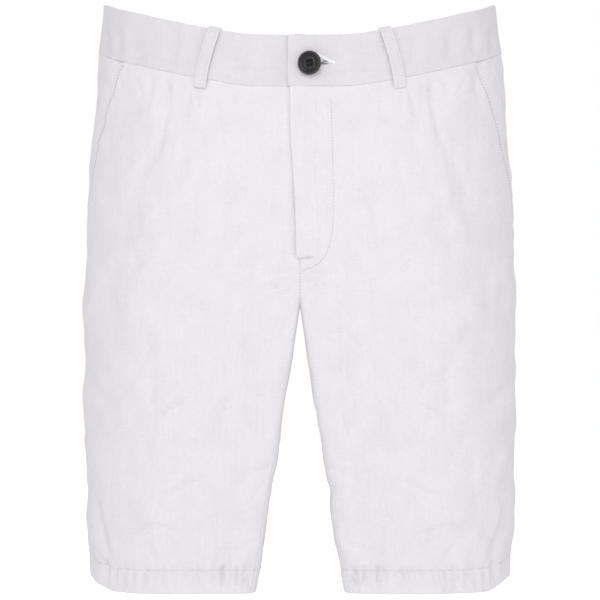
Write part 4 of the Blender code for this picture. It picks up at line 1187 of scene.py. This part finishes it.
def topstitching(material, holes):
    """All rows of stitches that show: hems, pocket mouths, fly, belt loops, the band's ditch and the rise, with
    painted shade at their needle holes.
    """
    lines = []

    def row(stitch, level, s, out, hand, creased=1.0):
        """One more row of stitches along a path on the surface."""
        lines.append((*stitch_line(level, s, out, hand, creased), *stitch))

    for hand in SIDES:
        z = np.full(600, HEM_Z + HEM_DEPTH)
        row(HEM_STITCH, z, np.linspace(0.0, float(whole_length(z[:1])[0]), 600), -0.00012, hand)
        z = np.linspace(BAND_BOTTOM - 0.002, MOUTH_STITCH_END_Z, 200)
        row(MOUTH_STITCH, z, front_length(z) - mouth_distance(z) - 0.0019, -0.0001, hand)
        z = np.full(400, BAND_BOTTOM - 0.0002)
        s = np.linspace(0.012, float(whole_length(z[:1])[0]) - 0.002, 400)
        row(DITCH_STITCH, z, s, -0.0004, hand)
        if hand > 0:
            z = np.linspace(SEAM_STITCH_Z, CROTCH_Z + 0.004, 60)
            row(SEAM_STITCH, z, np.full(60, 0.0016), 0.0, hand)
    level, s = fly_line()
    row(HEM_STITCH, level, s, fly_lift(s) * fall(-level, -FLY_CLOSED_Z, -FLY_CLOSED_Z + 0.014) - 0.0001, 1.0)
    path = smooth_path(LOOP_PATH, 96)[18:84]
    for s_seam, lean in ((FRONT_LOOP_S, FRONT_LOOP_LEAN), (BACK_LOOP_S, 0.0)):
        for hand in SIDES:
            for share in (-0.52, 0.52):
                s = loop_middle(path[:, 0], s_seam, lean) + share * LOOP_WIDTH / 2
                out = path[:, 1] + LOOP_WALL / 2 - gape(path[:, 0]) * share + 0.00002
                row(LOOP_STITCH, path[:, 0], s, out, hand, 0.0)
    # Small dark discs between the stitches: painted shade of the needle holes
    shades = [(line, normal, pitch, HOLE_LONG, 0.9 * thick) for line, normal, pitch, _, thick in lines]
    for name, finish, shift, rows in (
        ("topstitching", material, 0.0, lines), ("needle_hole_painted_shade", holes, 0.5, shades),
    ):
        piece = new_piece(name, *stitches(rows, shift), finish)
        face_out(piece)


def node(tree, kind, inputs=None, **settings):
    """New node with its settings, and its inputs by name or place: each a value or another node's output."""
    made = tree.nodes.new(kind)
    for name, value in settings.items():
        setattr(made, name, value)
    for name, value in (inputs or {}).items():
        if isinstance(value, bpy.types.NodeSocket):
            tree.links.new(value, made.inputs[name])
        else:
            made.inputs[name].default_value = value
    return made


def new_material(name, inputs):
    """Material with one Principled shader: gives the material, its tree and the shader's inputs."""
    material = bpy.data.materials.new(name)
    material.use_nodes = True
    shader = material.node_tree.nodes["Principled BSDF"]
    for label, value in inputs.items():
        shader.inputs[label].default_value = value
    return material, material.node_tree, shader.inputs


def math_node(tree, operation, *values):
    """Output of a math node whose inputs are numbers or other nodes' outputs."""
    return node(tree, "ShaderNodeMath", dict(enumerate(values)), operation=operation).outputs[0]


def noise(tree, vector, scale, detail=2.0, rough=0.5):
    """Noise of a stretched grain map: scale is how many features a metre holds across and up."""
    stretched = node(tree, "ShaderNodeVectorMath", {0: vector, 1: (*scale, 1.0)}, operation="MULTIPLY")
    inputs = {"Scale": 1.0, "Detail": detail, "Roughness": rough, "Vector": stretched.outputs[0]}
    return node(tree, "ShaderNodeTexNoise", inputs, noise_dimensions="2D").outputs["Fac"]


def blended(tree, factor, low, high):
    """Colour between the two by a factor: each is a colour or another node's output."""
    inputs = {"Factor": factor, "A": low, "B": high}
    return node(tree, "ShaderNodeMix", inputs, data_type="RGBA").outputs["Result"]


def clamped(tree, value, low, high, share=(0.0, 1.0)):
    """Map Range from low..high to the share."""
    inputs = {"Value": value, "From Min": low, "From Max": high, "To Min": share[0], "To Max": share[1]}
    return node(tree, "ShaderNodeMapRange", inputs).outputs["Result"]


def linen_weave():
    """Plain weave of uneven linen yarns: thick slubs both ways, loose cloudiness, and their height."""
    group = bpy.data.node_groups.new("linen_weave", "ShaderNodeTree")
    for label, way, kind in (
        ("Grain", "INPUT", "NodeSocketVector"), ("Tint", "INPUT", "NodeSocketColor"),
        ("Slubs", "INPUT", "NodeSocketFloat"), ("Color", "OUTPUT", "NodeSocketColor"),
        ("Height", "OUTPUT", "NodeSocketFloat"),
    ):
        group.interface.new_socket(label, in_out=way, socket_type=kind)
    given = group.nodes.new("NodeGroupInput").outputs
    at = given["Grain"]
    warp = clamped(group, noise(group, at, (1150.0, 42.0)), 0.54, 0.78)
    weft = clamped(group, noise(group, at, (48.0, 1250.0)), 0.54, 0.78)
    fine_warp = noise(group, at, (2300.0, 160.0), 1.0)
    fine_weft = noise(group, at, (160.0, 2300.0), 1.0)
    streak = noise(group, at, (420.0, 14.0), 1.0)
    cloud = noise(group, at, (62.0, 30.0), 3.0, 0.6)
    yarns = math_node(group, "ADD", fine_warp, fine_weft)
    slub = math_node(group, "ADD", warp, weft)
    shade = 0.0
    for part, middle, gain in ((slub, 0.35, 0.038), (yarns, 1.0, 0.060), (streak, 0.5, 0.030)):
        swing = math_node(group, "MULTIPLY", math_node(group, "SUBTRACT", part, middle), gain)
        shade = math_node(group, "ADD", shade, swing)
    shade = math_node(group, "MULTIPLY", shade, given["Slubs"])
    patch = math_node(group, "MULTIPLY", math_node(group, "SUBTRACT", cloud, 0.5), 0.078)
    gain = math_node(group, "ADD", math_node(group, "ADD", shade, patch), 1.0)
    tint = node(group, "ShaderNodeVectorMath", {0: given["Tint"], "Scale": gain}, operation="SCALE")
    split = node(group, "ShaderNodeSeparateXYZ", {0: at})
    over, under = (
        math_node(group, "SINE", math_node(group, "MULTIPLY", split.outputs[axis], 6800.0)) for axis in "XY"
    )
    weave = math_node(group, "MULTIPLY", math_node(group, "MULTIPLY", over, under), 0.20)
    height = math_node(group, "ADD", slub, math_node(group, "MULTIPLY", yarns, 0.7))
    height = math_node(group, "ADD", height, weave)
    node(group, "NodeGroupOutput", {"Color": tint.outputs[0], "Height": height})
    return group


def linen(name, weave, tint, slubs):
    """White linen: the weave group feeds the colour and the bump."""
    material, tree, shader = new_material(
        name, {"Roughness": 0.88, "Specular IOR Level": 0.25, "Sheen Weight": 0.10, "Sheen Roughness": 0.5},
    )
    grain_map = node(tree, "ShaderNodeUVMap", uv_map="grain").outputs["UV"]
    woven = node(tree, "ShaderNodeGroup", node_tree=weave)
    tree.links.new(grain_map, woven.inputs["Grain"])
    woven.inputs["Tint"].default_value = (*tint, 1.0)
    woven.inputs["Slubs"].default_value = slubs
    inputs = {"Strength": 1.0, "Distance": WEAVE_BUMP, "Height": woven.outputs["Height"]}
    raised = node(tree, "ShaderNodeBump", inputs)
    tree.links.new(woven.outputs["Color"], shader["Base Color"])
    tree.links.new(raised.outputs["Normal"], shader["Normal"])
    return material


def plain(name, colour, roughness, vary=0.06, scale=900.0):
    """Plain finish whose colour wanders a little over the surface."""
    material, tree, shader = new_material(name, {"Roughness": roughness})
    spot = node(tree, "ShaderNodeTexCoord").outputs["Object"]
    texture = node(tree, "ShaderNodeTexNoise", {"Scale": scale, "Detail": 3.0, "Vector": spot})
    low, high = ((*(c * (1 + side * vary) for c in colour), 1.0) for side in (-1, 1))
    tree.links.new(blended(tree, texture.outputs["Fac"], low, high), shader["Base Color"])
    return material


def button_plastic():
    """Charcoal plastic, polished unevenly, with faint brown streaks, painted highlights on its rings and
    painted shade in its holes.
    """
    material = plain("charcoal_plastic", (0.5, 0.5, 0.5), 0.38, 0.25, 260.0)
    tree = material.node_tree
    shader = tree.nodes["Principled BSDF"].inputs
    shader["Specular IOR Level"].default_value = 0.32
    reach = node(tree, "ShaderNodeAttribute", attribute_name="from_middle").outputs["Fac"]
    # Colours by share of the radius: painted highlights on the well's edge and the rim, painted shade in the
    # holes
    painted_light_ramp = node(tree, "ShaderNodeValToRGB", {"Fac": math_node(tree, "DIVIDE", reach, BUTTON_RADIUS)})
    for spot, _ in BUTTON_COLOURS_AND_PAINTED_LIGHT[1:-1]:
        painted_light_ramp.color_ramp.elements.new(spot)
    for element, (spot, colour) in zip(painted_light_ramp.color_ramp.elements, BUTTON_COLOURS_AND_PAINTED_LIGHT):
        element.position = spot
        element.color = (*colour, 1.0)
    mottle = shader["Base Color"].links[0].from_socket
    mottled = node(tree, "ShaderNodeVectorMath", {0: mottle, 1: painted_light_ramp.outputs["Color"]}, operation="MULTIPLY")
    spot = node(tree, "ShaderNodeTexCoord").outputs["Object"]
    inputs = {"Scale": 170.0, "Detail": 4.0, "Distortion": 1.5, "Vector": spot}
    streak = node(tree, "ShaderNodeTexNoise", inputs).outputs["Fac"]
    brown = blended(tree, clamped(tree, streak, 0.55, 0.75), mottled.outputs[0], (0.048, 0.034, 0.027, 1.0))
    tree.links.new(brown, shader["Base Color"])
    tree.links.new(clamped(tree, streak, 0.0, 1.0, (0.20, 0.36)), shader["Roughness"])
    return material


def link_new(name, data, spot=(0.0, 0.0, 0.0)):
    """New object of the studio, at its spot."""
    item = bpy.data.objects.new(name, data)
    bpy.context.scene.collection.objects.link(item)
    item.location = spot
    return item


def studio():
    """White surroundings, soft lamps in front, a pale floor well below the hems, and the camera."""
    scene = bpy.context.scene
    scene.view_settings.view_transform = "Standard"
    scene.view_settings.look = "None"
    scene.world = bpy.data.worlds.new("studio_white")
    scene.world.use_nodes = True
    tree = scene.world.node_tree
    tree.nodes.clear()
    seen = node(tree, "ShaderNodeBackground", {"Color": (1.0, 1.0, 1.0, 1.0), "Strength": 1.0}).outputs[0]
    lit = node(tree, "ShaderNodeBackground", {"Color": (0.985, 0.985, 1.0, 1.0), "Strength": 0.69}).outputs[0]
    first = node(tree, "ShaderNodeLightPath").outputs["Is Camera Ray"]
    mix = node(tree, "ShaderNodeMixShader", {"Fac": first, 1: lit, 2: seen}).outputs[0]
    node(tree, "ShaderNodeOutputWorld", {"Surface": mix})
    for name, spot, size, power in LAMPS:
        lamp = bpy.data.lights.new(name, "AREA")
        lamp.size = size
        lamp.energy = power
        x, y, z = np.array((0.0, 0.0, LIT_HEIGHT)) - np.array(spot)
        tilt = math.acos(-z / math.sqrt(x * x + y * y + z * z))
        link_new(name, lamp, spot).rotation_euler = (tilt, 0.0, math.atan2(y, x) - math.pi / 2)
    floor_mesh = bpy.data.meshes.new("floor")
    around = ((-1, -1), (1, -1), (1, 1), (-1, 1))
    floor_mesh.from_pydata([(x * FLOOR_HALF, y * FLOOR_HALF, FLOOR_Z) for x, y in around], [], [(0, 1, 2, 3)])
    pale = plain("pale_floor", (0.80, 0.80, 0.80), 0.9, 0.01, 2.0)
    tree = pale.node_tree
    first = node(tree, "ShaderNodeLightPath").outputs["Is Camera Ray"]
    glow = blended(tree, first, (0.20, 0.20, 0.20, 1.0), (0.75, 0.75, 0.75, 1.0))
    shader = tree.nodes["Principled BSDF"].inputs
    shader["Emission Strength"].default_value = 1.0
    tree.links.new(glow, shader["Emission Color"])
    floor_mesh.materials.append(pale)
    link_new("floor", floor_mesh)
    camera = bpy.data.cameras.new("camera")
    camera.sensor_width = SENSOR
    camera.lens = SENSOR * CAMERA_AWAY / VIEW_WIDTH
    scene.camera = link_new("camera", camera, (0.0, -CAMERA_AWAY, CAMERA_HEIGHT))
    scene.camera.rotation_euler = (math.pi / 2, 0.0, 0.0)


def main():
    """All the pieces, then the studio."""
    weave = linen_weave()
    body = linen("linen_body", weave, LINEN, 1.0)
    # The band and its loops get the darker linen: painted shade
    band = linen("linen_band", weave, tuple(BAND_PAINTED_SHADE * c for c in LINEN), 0.9)
    for hand, side in SIDES.items():
        front_panel(body, hand)
        back_panel(body, hand)
        pocket_facing(body, hand)
        waistband(band, hand)
        belt_loop(f"belt_loop_front_{side}", band, FRONT_LOOP_S, FRONT_LOOP_LEAN, hand)
        belt_loop(f"belt_loop_back_{side}", band, BACK_LOOP_S, 0.0, hand)
    belt_loop("belt_loop_back_centre", band, 1.0, 0.0, 1.0)
    fly_shield(body)
    # Purple-grey of the needle holes: painted shade
    holes = plain("needle_hole_shade", (0.46, 0.43, 0.50), 0.9)
    topstitching(plain("white_thread", (0.88, 0.87, 0.89), 0.7), holes)
    thread = plain("navy_thread", THREAD_COLOUR, 0.8)
    fly_bar(plain("bar_thread", (0.66, 0.64, 0.70), 0.8))
    button(button_plastic())
    button_thread(thread, plain("black_thread", (0.008, 0.008, 0.010), 0.8))
    satin = plain("satin_thread", (0.93, 0.93, 0.94), 0.45)
    # The lower lip's darker thread is painted shade
    buttonhole_lips(satin, plain("lip_thread_painted_shade", (0.80, 0.78, 0.82), 0.85))
    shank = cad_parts["button_shank"].data.materials
    shank.clear()
    shank.append(thread)
    studio()


main()
